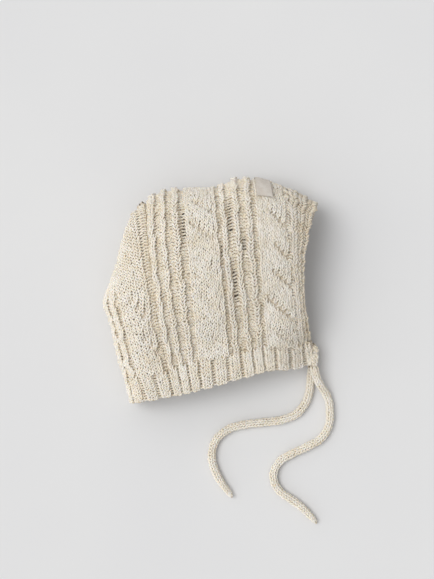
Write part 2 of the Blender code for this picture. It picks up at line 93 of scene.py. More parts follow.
class Worked(Enum):
    """How a block of columns is worked."""

    RIB = "rib"
    GROOVE = "groove"
    CABLE = "cable"
    PLAIN = "plain"
    SEAM = "seam"


class Block(NamedTuple):
    """A block of columns between two places across a side, counted in the shape's stitches."""

    worked: Worked
    start: float
    end: float
    columns: int


def side_by_side(start: float, *rows: tuple[Worked, float, int]) -> tuple[Block, ...]:
    """Blocks that begin where the one before ends.

    Args:
        start: Place at which the first begins.
        rows: How each is worked, the place at which it ends, and its columns.

    Returns:
        The blocks.
    """
    blocks = []
    for worked, end, columns in rows:
        blocks.append(Block(worked, start, end, columns))
        start = end
    return tuple(blocks)


PANEL_BLOCKS = side_by_side(
    0.0,
    (Worked.PLAIN, 2.2, 2),
    (Worked.RIB, 3.9, 2),
    (Worked.GROOVE, 5.1, 1),
    (Worked.RIB, 6.8, 2),
    (Worked.GROOVE, 8.0, 1),
    (Worked.CABLE, 14.8, 6),
    (Worked.GROOVE, 16.0, 1),
)
STRIP_BLOCKS = side_by_side(
    16.0,
    (Worked.GROOVE, 16.8, 1),
    (Worked.RIB, 18.5, 1),
    (Worked.GROOVE, 20.5, 2),
    (Worked.RIB, 22.4, 1),
    (Worked.GROOVE, 24.5, 2),
    (Worked.RIB, 26.5, 1),
    (Worked.GROOVE, 28.2, 2),
    (Worked.CABLE, 36.5, 8),
    (Worked.GROOVE, 37.8, 1),
    (Worked.RIB, 39.7, 1),
    (Worked.GROOVE, 42.0, 2),
    (Worked.RIB, 43.9, 1),
    (Worked.GROOVE, 45.9, 2),
    (Worked.RIB, 48.1, 1),
    (Worked.GROOVE, 49.5, 1),
    (Worked.CABLE, 58.0, 8),
    (Worked.SEAM, 59.0, 1),
    (Worked.PLAIN, 63.0, 3),
)


class ColumnLine(NamedTuple):
    """A line of stitches on the near side, at its neck end, middle and crown end."""

    stitch: float
    neck_x: float
    neck_y: float
    middle_x: float
    middle_y: float
    crown_x: float
    crown_y: float


class BackPoint(NamedTuple):
    """A point of the back outline, beside a share of the main strip's back line."""

    share: float
    x: float
    y: float
    stitches: float


class HeightRow(NamedTuple):
    """Heights of the near side across the bonnet, as shares of the top height."""

    y: float
    back: float
    rear: float
    middle: float
    front: float
    face: float


class Dent(NamedTuple):
    """A soft hollow of the near side, or a swelling where its depth is below 0."""

    x: float
    y: float
    spread: float
    depth: float


COLUMN_LINES = (
    ColumnLine(16.0, 0.324, 0.037, 0.240, 0.469, 0.196, 0.904),
    ColumnLine(19.5, 0.361, 0.046, 0.281, 0.504, 0.253, 0.934),
    ColumnLine(23.5, 0.402, 0.055, 0.331, 0.522, 0.297, 0.943),
    ColumnLine(27.5, 0.447, 0.066, 0.393, 0.535, 0.358, 0.947),
    ColumnLine(37.0, 0.598, 0.107, 0.553, 0.544, 0.518, 0.956),
    ColumnLine(41.0, 0.662, 0.123, 0.607, 0.557, 0.573, 0.982),
    ColumnLine(45.0, 0.712, 0.138, 0.660, 0.566, 0.632, 0.998),
    ColumnLine(49.0, 0.758, 0.149, 0.717, 0.570, 0.683, 0.991),
    ColumnLine(58.5, 0.909, 0.158, 0.868, 0.557, 0.836, 0.956),
    ColumnLine(63.0, 1.000, 0.184, 0.925, 0.544, 0.991, 0.904),
)
BACK_OUTLINE = (
    BackPoint(0.000, 0.123, 0.000, 16.0),
    BackPoint(0.130, 0.096, 0.114, 16.0),
    BackPoint(0.240, 0.066, 0.206, 16.0),
    BackPoint(0.350, 0.046, 0.303, 16.0),
    BackPoint(0.450, 0.023, 0.382, 16.0),
    BackPoint(0.540, 0.000, 0.452, 16.0),
    BackPoint(0.610, 0.023, 0.513, 13.6),
    BackPoint(0.720, 0.059, 0.610, 9.6),
    BackPoint(0.830, 0.087, 0.715, 6.4),
    BackPoint(0.930, 0.123, 0.811, 3.2),
    BackPoint(0.985, 0.164, 0.877, 1.0),
    BackPoint(1.000, 0.196, 0.904, 0.3),
)
HEIGHT_STATIONS = (0.0, 0.3, 0.6, 0.85, 1.0)
NEAR_HEIGHTS = (
    HeightRow(0.00, 0.50, 0.55, 0.56, 0.44, 0.30),
    HeightRow(0.16, 0.62, 0.68, 0.66, 0.50, 0.34),
    HeightRow(0.45, 0.72, 0.90, 0.90, 0.78, 0.66),
    HeightRow(0.75, 0.76, 0.95, 0.99, 0.90, 0.80),
    HeightRow(1.00, 0.76, 0.92, 0.98, 0.92, 0.82),
)
DENTS = (
    Dent(-0.0628, 0.0265, 0.0090, 0.0030),
    Dent(-0.0074, 0.0280, 0.0080, 0.0020),
    Dent(0.0043, -0.0380, 0.0070, 0.0022),
    Dent(0.0270, -0.0257, 0.0090, 0.0022),
    Dent(0.0433, -0.0130, 0.0050, 0.0014),
    Dent(-0.0550, -0.0330, 0.0120, -0.0014),
    Dent(-0.0200, -0.0050, 0.0100, -0.0010),
)
# The ties leave the corner, come down to the floor and lie on it.
NEAR_TIE_ROUTE = (
    (0.0822, -0.0620, 0.0136),
    (0.0840, -0.0694, 0.0119),
    (0.0876, -0.0768, 0.0088),
    (0.0912, -0.0822, 0.0060),
    (0.0940, -0.0880, 0.0040),
    (0.0956, -0.0990, 0.0036),
    (0.0940, -0.1104, 0.0036),
    (0.0884, -0.1192, 0.0036),
    (0.0764, -0.1264, 0.0036),
    (0.0660, -0.1312, 0.0036),
    (0.0556, -0.1376, 0.0036),
    (0.0508, -0.1456, 0.0036),
    (0.0508, -0.1536, 0.0036),
    (0.0556, -0.1616, 0.0036),
    (0.0644, -0.1680, 0.0036),
    (0.0740, -0.1752, 0.0036),
    (0.0836, -0.1856, 0.0036),
)
FAR_TIE_ROUTE = (
    (0.0806, -0.0620, 0.0037),
    (0.0802, -0.0712, 0.0036),
    (0.0792, -0.0806, 0.0036),
    (0.0762, -0.0904, 0.0036),
    (0.0692, -0.0992, 0.0036),
    (0.0588, -0.1040, 0.0036),
    (0.0436, -0.1064, 0.0036),
    (0.0300, -0.1080, 0.0036),
    (0.0164, -0.1112, 0.0036),
    (0.0068, -0.1176, 0.0036),
    (0.0020, -0.1264, 0.0036),
    (0.0012, -0.1352, 0.0036),
    (0.0036, -0.1448, 0.0036),
    (0.0092, -0.1552, 0.0036),
    (0.0164, -0.1644, 0.0036),
)


def smooth_through(knots: Array, values: Array, at: Array) -> Array:
    """Reads a smooth curve through the knots.

    Args:
        knots: Rising places of the known values.
        values: The known values.
        at: Places to read.

    Returns:
        The curve's value at each place.
    """
    knots = np.asarray(knots, float)
    values = np.asarray(values, float)
    at = np.clip(np.asarray(at, float), knots[0], knots[-1])
    slopes = np.gradient(values, knots)
    place = np.clip(np.searchsorted(knots, at, side="right") - 1, 0, len(knots) - 2)
    span = knots[place + 1] - knots[place]
    u = (at - knots[place]) / span
    start = (1 + 2 * u) * (1 - u) ** 2 * values[place] + u * (1 - u) ** 2 * span * slopes[place]
    end = u * u * (3 - 2 * u) * values[place + 1] - u * u * (1 - u) * span * slopes[place + 1]
    return start + end


def smooth_step(low: float, high: float, value: Array) -> Array:
    """Rises smoothly from 0 at low to 1 at high, or falls where high is the lower."""
    u = np.clip((value - low) / (high - low), 0.0, 1.0)
    return u * u * (3 - 2 * u)


def bell(value: Array) -> Array:
    """1 at 0, falling smoothly to 0 on both sides."""
    return np.exp(-(value**2))


def unit(vectors: Array) -> Array:
    """Vectors of length one in the same directions."""
    return vectors / np.maximum(np.linalg.norm(vectors, axis=-1, keepdims=True), SMALLEST)


def table_column(rows: tuple, name: str) -> list[float]:
    """One named column of a table."""
    return [getattr(row, name) for row in rows]


@dataclass
class LyingShape:
    """The middle surface of the bonnet's wall as it lies, worked out from its tables.

    Sizes are metres, apart from shares, roundnesses and counts of stitches and steps.
    """

    length: float = 0.1710
    height: float = 0.1780
    top_height: float = 0.0600
    fold_height: float = 0.0220
    corner_height: float = 0.0145
    skin: float = 0.0029
    far_level: float = 0.0031
    fold_drop: float = 0.30
    near_roundness: float = 1.25
    far_roundness: float = 0.90
    side_stitches: float = 63.0
    panel_stitches: float = 16.0
    face_band_start: float = 58.5
    neck_band_width: float = 0.0215
    outline_steps: int = 160
    join_width: float = 0.0098
    join_length: float = 0.0172
    gap: float = 0.0003
    column_reach: float = 0.83
    corner_from_x: float = 0.80
    corner_at_x: float = 1.00
    corner_from_y: float = 0.42
    corner_at_y: float = 0.16
    shift: Array = field(default_factory=lambda: np.zeros(3))

    def __post_init__(self) -> None:
        """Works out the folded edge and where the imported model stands."""
        back = np.stack(self.back_plan(np.linspace(0, 1, self.outline_steps + 1)), -1)
        strip = np.linspace(self.panel_stitches, self.side_stitches, self.outline_steps + 1)
        crown = np.stack(self.strip_plan(strip, np.ones_like(strip)), -1)
        self.fold_outline = np.concatenate([back, crown[1:]]) * (self.length, self.height)
        self.shift = self.find_shift()

    @property
    def band_share(self) -> float:
        """Share of a column that the neck band takes."""
        return self.neck_band_width / (self.height - self.skin)

    def find_shift(self) -> Array:
        """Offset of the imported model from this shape's own origin, read from a front corner.

        Returns:
            The offset in metres.
        """
        low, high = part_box("tie_join_near")
        share = self.band_share + self.gap / 2 / self.height / self.column_reach
        end = self.strip_place(np.array([self.face_band_start]), np.array([share]))[0]
        corner_y = end[1] - self.gap - self.join_length / 2
        own = np.array([self.length / 2 - self.join_width / 2, corner_y, self.corner_height])
        return np.array((low + high) / 2) - own

    def strip_plan(self, stitch: Array, share: Array) -> list[Array]:
        """Place in plan of a stitch of the main strip.

        Args:
            stitch: Places across, in the shape's stitches.
            share: Shares of the column from the neck edge to the crown.

        Returns:
            X as a share of the length, and Y as a share of the height.
        """
        stitches = table_column(COLUMN_LINES, "stitch")
        ends = []
        for axis in "xy":
            neck, middle, crown = (
                smooth_through(stitches, table_column(COLUMN_LINES, f"{level}_{axis}"), stitch)
                for level in ("neck", "middle", "crown")
            )
            weight_neck = (1 - share) * (1 - 2 * share)
            weight_middle = 4 * share * (1 - share)
            weight_crown = share * (2 * share - 1)
            ends.append(weight_neck * neck + weight_middle * middle + weight_crown * crown)
        return ends

    def back_plan(self, share: Array) -> list[Array]:
        """Place in plan, as shares, of the back outline."""
        shares = table_column(BACK_OUTLINE, "share")
        return [smooth_through(shares, table_column(BACK_OUTLINE, axis), share) for axis in "xy"]

    def panel_count(self, share: Array) -> Array:
        """Stitches between the back outline and the main strip."""
        shares = table_column(BACK_OUTLINE, "share")
        return np.interp(share, shares, table_column(BACK_OUTLINE, "stitches"))

    def fold_distance(self, x: Array, y: Array) -> Array:
        """Plan distance to the folded edge, rounded inside its corners.

        Args:
            x: Metres from the back corner.
            y: Metres from the neck corner.

        Returns:
            Distances in metres.
        """
        points = np.stack([x, y], -1)[..., None, :]
        way = np.diff(self.fold_outline, axis=0)
        length = np.linalg.norm(way, axis=-1)
        towards = self.fold_outline[:-1] - points
        begin = (towards * way / length[:, None]).sum(-1)
        end = begin + length
        aside = np.maximum((towards**2).sum(-1) - begin**2, SMALLEST)
        pull = (end / np.sqrt(aside + end**2) - begin / np.sqrt(aside + begin**2)) / aside
        return np.sqrt(2 / pull.sum(-1))

    def near_level(self, x_share: Array, y_share: Array) -> Array:
        """Height of the near wall's middle, away from its folds.

        Args:
            x_share: Shares of the length from the back corner.
            y_share: Shares of the height from the neck corner.

        Returns:
            Heights over the floor in metres.
        """
        rows = np.stack([smooth_through(HEIGHT_STATIONS, row[1:], x_share) for row in NEAR_HEIGHTS])
        knots = np.array(table_column(NEAR_HEIGHTS, "y"))
        place = np.clip(np.searchsorted(knots, y_share, side="right") - 1, 0, len(knots) - 2)
        low = np.take_along_axis(rows, place[None], 0)[0]
        high = np.take_along_axis(rows, place[None] + 1, 0)[0]
        span = knots[place + 1] - knots[place]
        u = np.clip((y_share - knots[place]) / span, 0, 1)
        level = self.top_height * (low + (high - low) * u * u * (3 - 2 * u))
        corner = smooth_step(self.corner_from_x, self.corner_at_x, x_share)
        corner = corner * smooth_step(self.corner_from_y, self.corner_at_y, y_share)
        return level + (self.corner_height - level) * corner

    def fold_level(self, y_share: Array) -> Array:
        """Height of the folded edge's middle."""
        return self.fold_height * (1 - self.fold_drop * (1 - np.clip(y_share, 0, 1)))

    def surface(self, x_share: Array, y_share: Array, near: Array) -> Array:
        """World places of the wall's middle for shares of the plan.

        Args:
            x_share: Shares of the length from the back corner.
            y_share: Shares of the height from the neck corner.
            near: True on the near side.

        Returns:
            Points in metres.
        """
        x = x_share * self.length
        y = y_share * self.height
        distance = self.fold_distance(x, y)
        middle = self.fold_level(y_share)
        level = self.near_level(x_share, y_share) - middle
        rise = np.maximum(level, 0.0)
        drop = middle - self.far_level
        reach = self.near_roundness * np.maximum(rise, self.skin)
        near_z = middle + rise * self.round_over(distance / reach)
        near_z = near_z + np.minimum(level, 0.0) * smooth_step(0.0, 2 * self.fold_height, distance)
        far_z = middle - drop * self.round_over(distance / (self.far_roundness * drop))
        world_x = x - self.length / 2 + self.skin * (1 - x_share)
        world_y = y - self.height / 2 - self.skin * y_share
        for dent in DENTS:
            away = (world_x - dent.x) ** 2 + (world_y - dent.y) ** 2
            near_z = near_z - dent.depth * np.exp(-away / (2 * dent.spread**2))
        return np.stack([world_x, world_y, np.where(near, near_z, far_z)], -1) + self.shift

    @staticmethod
    def round_over(inside: Array) -> Array:
        """Share of its rise that an elliptical fold has reached at a share of its depth."""
        return np.sqrt(np.clip(1 - (1 - np.clip(inside, 0, 1)) ** 2, 0, 1))

    def strip_place(self, stitch: Array, way: Array) -> Array:
        """Middle of the wall on the strip. way is 0 at the near neck edge, 1 at the crown, 2 far."""
        return self.surface(*self.strip_plan(stitch, 1 - np.abs(way - 1)), way <= 1)

    def panel_place(self, across: Array, share: Array) -> Array:
        """Middle of the wall on the back panel.

        Args:
            across: Places from 1 at the near strip over 0 at the fold to -1 at the far strip.
            share: Shares of the strip's back line.

        Returns:
            Points in metres.
        """
        near = across >= 0
        back_x, back_y = self.back_plan(share)
        strip_x, strip_y = self.strip_plan(np.full_like(share, self.panel_stitches), share)
        width = np.hypot((strip_x - back_x) * self.length, (strip_y - back_y) * self.height)
        middle = self.fold_level(back_y)
        rise = np.where(near, self.near_level(back_x, back_y) - middle, middle - self.far_level)
        roundness = np.where(near, self.near_roundness, self.far_roundness)
        rise = np.minimum(rise, width / roundness)
        depth = np.minimum(roundness * rise, width)
        arc = math.pi / 2 * np.sqrt((depth**2 + rise**2) / 2)
        girth = np.abs(across) * (width - depth + arc)
        rounded = depth * (1 - np.cos(math.pi / 2 * np.clip(girth / arc, 0, 1)))
        inward = (rounded + np.clip(girth - arc, 0, None)) / width
        x_share = back_x + (strip_x - back_x) * inward
        y_share = back_y + (strip_y - back_y) * inward
        return self.surface(x_share, y_share, near)

    def band_place(self, stitch: Array, share: Array) -> Array:
        """Middle of the wall round the neck.

        Args:
            stitch: Stitches from the back fold, above 0 on the near side and below 0 on the far.
            share: Shares of the columns.

        Returns:
            Points in metres.
        """
        count = np.abs(stitch)
        plan = self.strip_plan(np.maximum(count, self.panel_stitches), share)
        strip = self.surface(*plan, stitch >= 0)
        panel = self.panel_place(np.clip(stitch / self.panel_stitches, -1, 1), share)
        return np.where((count > self.panel_stitches)[..., None], strip, panel)


@dataclass
class Grid:
    """A fine grid of the wall's middle, read at any column and row of a chart."""

    columns: Array
    rows: Array
    places: Array

    def __post_init__(self) -> None:
        """Takes the outward normals from the grid's own slopes."""
        by_column = np.gradient(self.places, self.columns, axis=0)
        by_row = np.gradient(self.places, self.rows, axis=1)
        self.normals = unit(np.cross(by_column, by_row))

    def read(self, column: Array, row: Array, lift: Array) -> Array:
        """Places lifted off the wall's middle.

        Args:
            column: Chart columns.
            row: Chart rows.
            lift: Distance out of the wall's middle.

        Returns:
            Points in metres.
        """
        place = self.blend(self.places, column, row)
        return place + self.normal(column, row) * np.asarray(lift)[..., None]

    def normal(self, column: Array, row: Array) -> Array:
        """Outward unit normals."""
        return unit(self.blend(self.normals, column, row))

    def blend(self, values: Array, column: Array, row: Array) -> Array:
        """Reads a grid of vectors between its lines, carried on straight past its edges.

        Args:
            values: One vector for each crossing of the grid.
            column: Chart columns.
            row: Chart rows.

        Returns:
            The vectors at the places.
        """
        i = np.clip(np.searchsorted(self.columns, column) - 1, 0, len(self.columns) - 2)
        j = np.clip(np.searchsorted(self.rows, row) - 1, 0, len(self.rows) - 2)
        u = ((column - self.columns[i]) / (self.columns[i + 1] - self.columns[i]))[..., None]
        v = ((row - self.rows[j]) / (self.rows[j + 1] - self.rows[j]))[..., None]
        first = values[i, j] * (1 - v) + values[i, j + 1] * v
        second = values[i + 1, j] * (1 - v) + values[i + 1, j + 1] * v
        return first * (1 - u) + second * u


class Crease(NamedTuple):
    """A slanting fold where the strands of a cable cross, with a lobe swelling above it.

    The row is where it passes the cable's middle, and its ends are places across the cable from
    -1 to 1. The depth and the lobe's height are metres.
    """

    row: float
    left: float
    right: float
    depth: float
    lobe: float


class Cable(NamedTuple):
    """A cable: the rows that its creases fall over half its width, and the creases."""

    slope: float
    creases: tuple[Crease, ...]


PANEL_CABLE = Cable(
    7.8,
    (
        Crease(13.5, 0.1, 1.0, 0.0016, 0.0004),
        Crease(23.5, -0.4, 1.0, 0.0018, 0.0006),
    ),
)
MIDDLE_CABLE = Cable(
    4.2,
    (
        Crease(8.1, -0.6, 0.6, 0.0014, 0.0006),
        Crease(18.9, -0.5, 0.7, 0.0014, 0.0010),
        Crease(30.1, -0.6, 0.6, 0.0012, 0.0006),
        Crease(40.4, -0.7, 0.7, 0.0022, 0.0010),
        Crease(48.6, -0.6, 0.8, 0.0018, 0.0009),
        *(Crease(row, -0.7, 0.7, 0.0018, 0.0008) for row in (73.0, 85.0, 97.0)),
    ),
)
FACE_CABLE = Cable(
    3.6,
    (
        Crease(4.8, -0.5, 0.7, 0.0014, 0.0008),
        Crease(14.0, -0.85, 0.85, 0.0032, 0.0018),
        Crease(24.7, -0.2, 0.95, 0.0030, 0.0019),
        Crease(34.0, 0.1, 0.95, 0.0030, 0.0019),
        Crease(43.9, -0.1, 0.9, 0.0024, 0.0015),
        *(Crease(row, -0.6, 0.9, 0.0024, 0.0014) for row in (72.0, 82.0, 92.0, 102.0)),
    ),
)


class Ladder(NamedTuple):
    """A stretch of a groove where the yarn has drawn thin into bars with gaps between."""

    start: float
    end: float
    first_row: float
    last_row: float


LADDERS = (
    Ladder(39.7, 42.0, 36.0, 48.0),
    Ladder(39.7, 42.0, 15.0, 27.0),
    Ladder(26.5, 28.2, 37.0, 47.0),
    Ladder(36.5, 37.8, 30.0, 35.5),
    Ladder(43.9, 45.9, 30.0, 36.0),
)


@dataclass(frozen=True)
class Yarn:
    """The wool, and how its loops lie. Lengths are metres, shares are of one stitch."""

    radius: float = 0.00068
    lean: float = 0.33
    reach: float = 0.80
    depth: float = 0.00060
    points: int = 10
    sides: int = 5


NEAR_YARN = Yarn()
FAR_YARN = Yarn(points=7, sides=4)
PANEL_YARN = Yarn(points=9)
FACE_YARN = Yarn(radius=0.00076)
NECK_YARN = Yarn(radius=0.00074)
TIE_YARN = Yarn(radius=0.00080, lean=0.30, depth=0.0005)
CORNER_YARN = Yarn(radius=0.00085, lean=0.26, reach=0.62, depth=0.0005, points=9)


@dataclass
class Stitches:
    """Stitches in the order in which their yarn runs, with the frame of each."""

    centre: Array
    across: Array
    along: Array
    outward: Array
    away: Array
    course: Array
    thickness: Array
    # 0 for the darkest colour and 1 for the palest: random tone, and on the hood's fabric also painted
    # shade in the grooves
    tone: Array


class NodeBench:
    """Adds nodes to one tree."""

    def __init__(self, tree: bpy.types.NodeTree) -> None:
        """Takes the tree."""
        self.tree = tree

    def node(self, kind: str, inputs: dict | None = None, **settings: object) -> bpy.types.Node:
        """Adds a node, sets it and links or fills its inputs.

        Args:
            kind: The node's type.
            inputs: Sockets or values by input name or number.
            settings: Properties of the node.

        Returns:
            The node.
        """
        made = self.tree.nodes.new(kind)
        for name, value in settings.items():
            setattr(made, name, value)
        for name, value in (inputs or {}).items():
            self.feed(made.inputs[name], value)
        return made

    def feed(self, socket: Socket, value: object) -> None:
        """Links a socket to another, or fills it with a value."""
        if isinstance(value, Socket):
            self.tree.links.new(value, socket)
        else:
            socket.default_value = value

    def math(self, operation: str, *values: object) -> Socket:
        """The result of a number sum."""
        return self.node("ShaderNodeMath", dict(enumerate(values)), operation=operation).outputs[0]

    def vector_math(self, operation: str, *values: object) -> bpy.types.Node:
        """A node that works on vectors."""
        return self.node("ShaderNodeVectorMath", dict(enumerate(values)), operation=operation)


class TreeBench(NodeBench):
    """Builds one Geometry Nodes tree with named inputs."""

    def __init__(self, name: str) -> None:
        """Starts an empty tree that takes and gives a geometry.

        Args:
            name: Name of the tree.
        """
        super().__init__(bpy.data.node_groups.new(name, "GeometryNodeTree"))
        self.tree.is_modifier = True
        self.sockets: dict[str, str] = {}
        for way in ("INPUT", "OUTPUT"):
            self.tree.interface.new_socket("Geometry", in_out=way, socket_type="NodeSocketGeometry")
        self.start = self.tree.nodes.new("NodeGroupInput")
        self.end = self.tree.nodes.new("NodeGroupOutput")

    def size(self, name: str, kind: str = "Float") -> Socket:
        """Adds a named input.

        Args:
            name: The input's name.
            kind: Its socket kind, such as Float, Int or Material.

        Returns:
            The socket inside the tree.
        """
        socket_type = f"NodeSocket{kind}"
        made = self.tree.interface.new_socket(name, in_out="INPUT", socket_type=socket_type)
        self.sockets[name] = made.identifier
        return self.start.outputs[name]

    def scaled(self, vector: Socket, by: Socket) -> Socket:
        """A vector times a number."""
        return self.node("ShaderNodeVectorMath", {0: vector, "Scale": by}, operation="SCALE").outputs[0]

    def vector(self, name: str) -> Socket:
        """Reads a vector attribute."""
        return self.named(name, "FLOAT_VECTOR")

    def named(self, name: str, kind: str = "FLOAT") -> Socket:
        """Reads a named attribute."""
        return self.node("GeometryNodeInputNamedAttribute", {"Name": name}, data_type=kind).outputs[0]

    def stored(self, geometry: Socket, name: str, value: Socket) -> Socket:
        """The geometry with a number kept at its points.

        Args:
            geometry: The geometry.
            name: Name of the number.
            value: Its value at each point.

        Returns:
            The geometry that holds it.
        """
        inputs = {"Geometry": geometry, "Name": name, "Value": value}
        kept = self.node("GeometryNodeStoreNamedAttribute", inputs, data_type="FLOAT", domain="POINT")
        return kept.outputs[0]

    def finish(self, geometry: Socket, material: Socket) -> None:
        """Ends the tree: smooth shading, real instances and the finish.

        Args:
            geometry: What the tree has made.
            material: Its finish.
        """
        smooth = self.node("GeometryNodeSetShadeSmooth", {"Geometry": geometry})
        real = self.node("GeometryNodeRealizeInstances", {"Geometry": smooth.outputs[0]})
        inputs = {"Geometry": real.outputs[0], "Material": material}
        dressed = self.node("GeometryNodeSetMaterial", inputs)
        self.tree.links.new(dressed.outputs[0], self.end.inputs[0])


def link_new(name: str, data: bpy.types.ID) -> Object:
    """Puts a new object in the scene.

    Args:
        name: Its name.
        data: Its mesh, lamp or lens.

    Returns:
        The object, at the origin.
    """
    made = bpy.data.objects.new(name, data)
    bpy.context.scene.collection.objects.link(made)
    return made


def settle(piece: Object) -> None:
    """Turns a piece with modifiers into a plain mesh.

    Args:
        piece: The piece, which keeps its name.
    """
    source = piece.data
    graph = bpy.context.evaluated_depsgraph_get()
    result = bpy.data.meshes.new_from_object(piece.evaluated_get(graph))
    piece.modifiers.clear()
    piece.data = result
    bpy.data.meshes.remove(source)
    result.name = piece.name


def mesh_from_tree(name: str, source: bpy.types.Mesh, bench: TreeBench, values: dict) -> Object:
    """Runs a tree on a source mesh and keeps its result as a plain mesh.

    Args:
        name: Name of the finished piece.
        source: Mesh that the tree starts from.
        bench: The tree.
        values: Its inputs by name.

    Returns:
        The finished piece, at the origin, without modifiers.
    """
    piece = link_new(name, source)
    modifier = piece.modifiers.new("stitches", "NODES")
    modifier.node_group = bench.tree
    for label, value in values.items():
        modifier[bench.sockets[label]] = value
    settle(piece)
    return piece


def stitch_tree() -> TreeBench:
    """The tree that bends the yarn of each course into loops and sweeps it round.

    Returns:
        The tree. Its source is the mesh of the courses.
    """
    bench = TreeBench("stitch_loops")
    lean, reach, depth, radius = (bench.size(name) for name in ("Lean", "Reach", "Depth", "Yarn radius"))
    sides = bench.size("Yarn sides", "Int")
    material = bench.size("Material", "Material")
    turn = bench.named("turn")  # from 0 to 1 along the yarn of one stitch
    once = bench.math("COSINE", bench.math("MULTIPLY", turn, 2 * math.pi))
    double_turn = bench.math("MULTIPLY", turn, 4 * math.pi)
    twice = bench.math("COSINE", double_turn)
    sway = bench.math("MULTIPLY", bench.math("SINE", double_turn), lean)
    aside = bench.math("ADD", bench.math("SUBTRACT", turn, 0.5), sway)
    up = bench.math("MULTIPLY", once, bench.math("MULTIPLY", reach, -1.0))
    out = bench.math("MULTIPLY", twice, bench.math("MULTIPLY", depth, -1.0))
    shift = bench.scaled(bench.vector("across"), aside)
    shift = bench.vector_math("ADD", shift, bench.scaled(bench.vector("along"), up)).outputs[0]
    shift = bench.vector_math("ADD", shift, bench.scaled(bench.vector("outward"), out)).outputs[0]
    inputs = {"Geometry": bench.start.outputs["Geometry"], "Offset": shift}
    placed = bench.node("GeometryNodeSetPosition", inputs)
    line = bench.node("GeometryNodeMeshToCurve", {"Mesh": placed.outputs[0]})
    inputs = {"Curve": line.outputs[0], "Radius": bench.named("thickness")}
    thick = bench.node("GeometryNodeSetCurveRadius", inputs)
    spline = bench.node("GeometryNodeSplineParameter")
    measured = bench.stored(thick.outputs[0], "yarn_run", spline.outputs["Length"])
    # Share of the yarn that dives under its neighbours, which the wool darkens as painted shade.
    facing = bench.vector_math("DOT_PRODUCT", bench.vector("outward"), bench.vector("away"))
    behind = bench.math("MULTIPLY", twice, facing.outputs["Value"])
    behind = bench.math("MULTIPLY_ADD", behind, 0.5, 0.5)
    course = bench.stored(measured, "behind", behind)
    ring = bench.node("GeometryNodeCurvePrimitiveCircle", {"Resolution": sides, "Radius": radius})
    round_way = bench.node("GeometryNodeSplineParameter").outputs["Factor"]
    profile = bench.stored(ring.outputs[0], "yarn_round", round_way)
    inputs = {"Curve": course, "Profile Curve": profile, "Fill Caps": True}
    bench.finish(bench.node("GeometryNodeCurveToMesh", inputs).outputs[0], material)
    return bench


def course_mesh(name: str, stitches: Stitches, points: int) -> bpy.types.Mesh:
    """Source mesh of the courses: points of each stitch at its centre, joined along the yarn.

    Args:
        name: Name of the mesh.
        stitches: Stitches in yarn order.
        points: Points along the yarn of one stitch.

    Returns:
        A mesh of edges with the attributes that the stitch tree reads.
    """
    count = len(stitches.centre)
    turns = (np.arange(points) + 0.5) / points
    place = np.repeat(stitches.centre, points, 0)
    course = np.repeat(stitches.course, points)
    order = np.arange(count * points)
    joined = course[:-1] == course[1:]
    edges = np.stack([order[:-1][joined], order[1:][joined]], -1)
    mesh = bpy.data.meshes.new(name)
    mesh.vertices.add(len(place))
    mesh.edges.add(len(edges))
    mesh.vertices.foreach_set("co", place.ravel())
    mesh.edges.foreach_set("vertices", edges.ravel().astype(np.int32))
    for label in ("across", "along", "outward", "away"):
        values = np.repeat(getattr(stitches, label), points, 0)
        mesh.attributes.new(label, "FLOAT_VECTOR", "POINT").data.foreach_set("vector", values.ravel())
    numbers = {
        "turn": np.tile(turns, count),
        "thickness": np.repeat(stitches.thickness, points),
        "tone": np.repeat(stitches.tone, points),
    }
    for label, values in numbers.items():
        mesh.attributes.new(label, "FLOAT", "POINT").data.foreach_set("value", values)
    mesh.update()
    return mesh


class Wave(NamedTuple):
    """A slow wave: its rate along the rows, its step from one column or block to the next, its size."""

    rate: float
    step: float
    size: float = 1.0


COLUMN_WAVES = (Wave(1.73, 2.37), Wave(0.71, -1.31))
SWAYS = (Wave(0.93, 2.1), Wave(0.41, 4.7, 0.8), Wave(1.57, 1.3, 0.6))
SWELLS = (Wave(0.79, 3.3), Wave(1.33, 0.7))
NECK_WAVES = (Wave(1.3, 1.9),)


def waver(waves: tuple[Wave, ...], row: Array, number: Array) -> Array:
    """The sum of waves at rows of the numbered columns or blocks."""
    return sum(wave.size * np.sin(row * wave.rate + number * wave.step) for wave in waves)


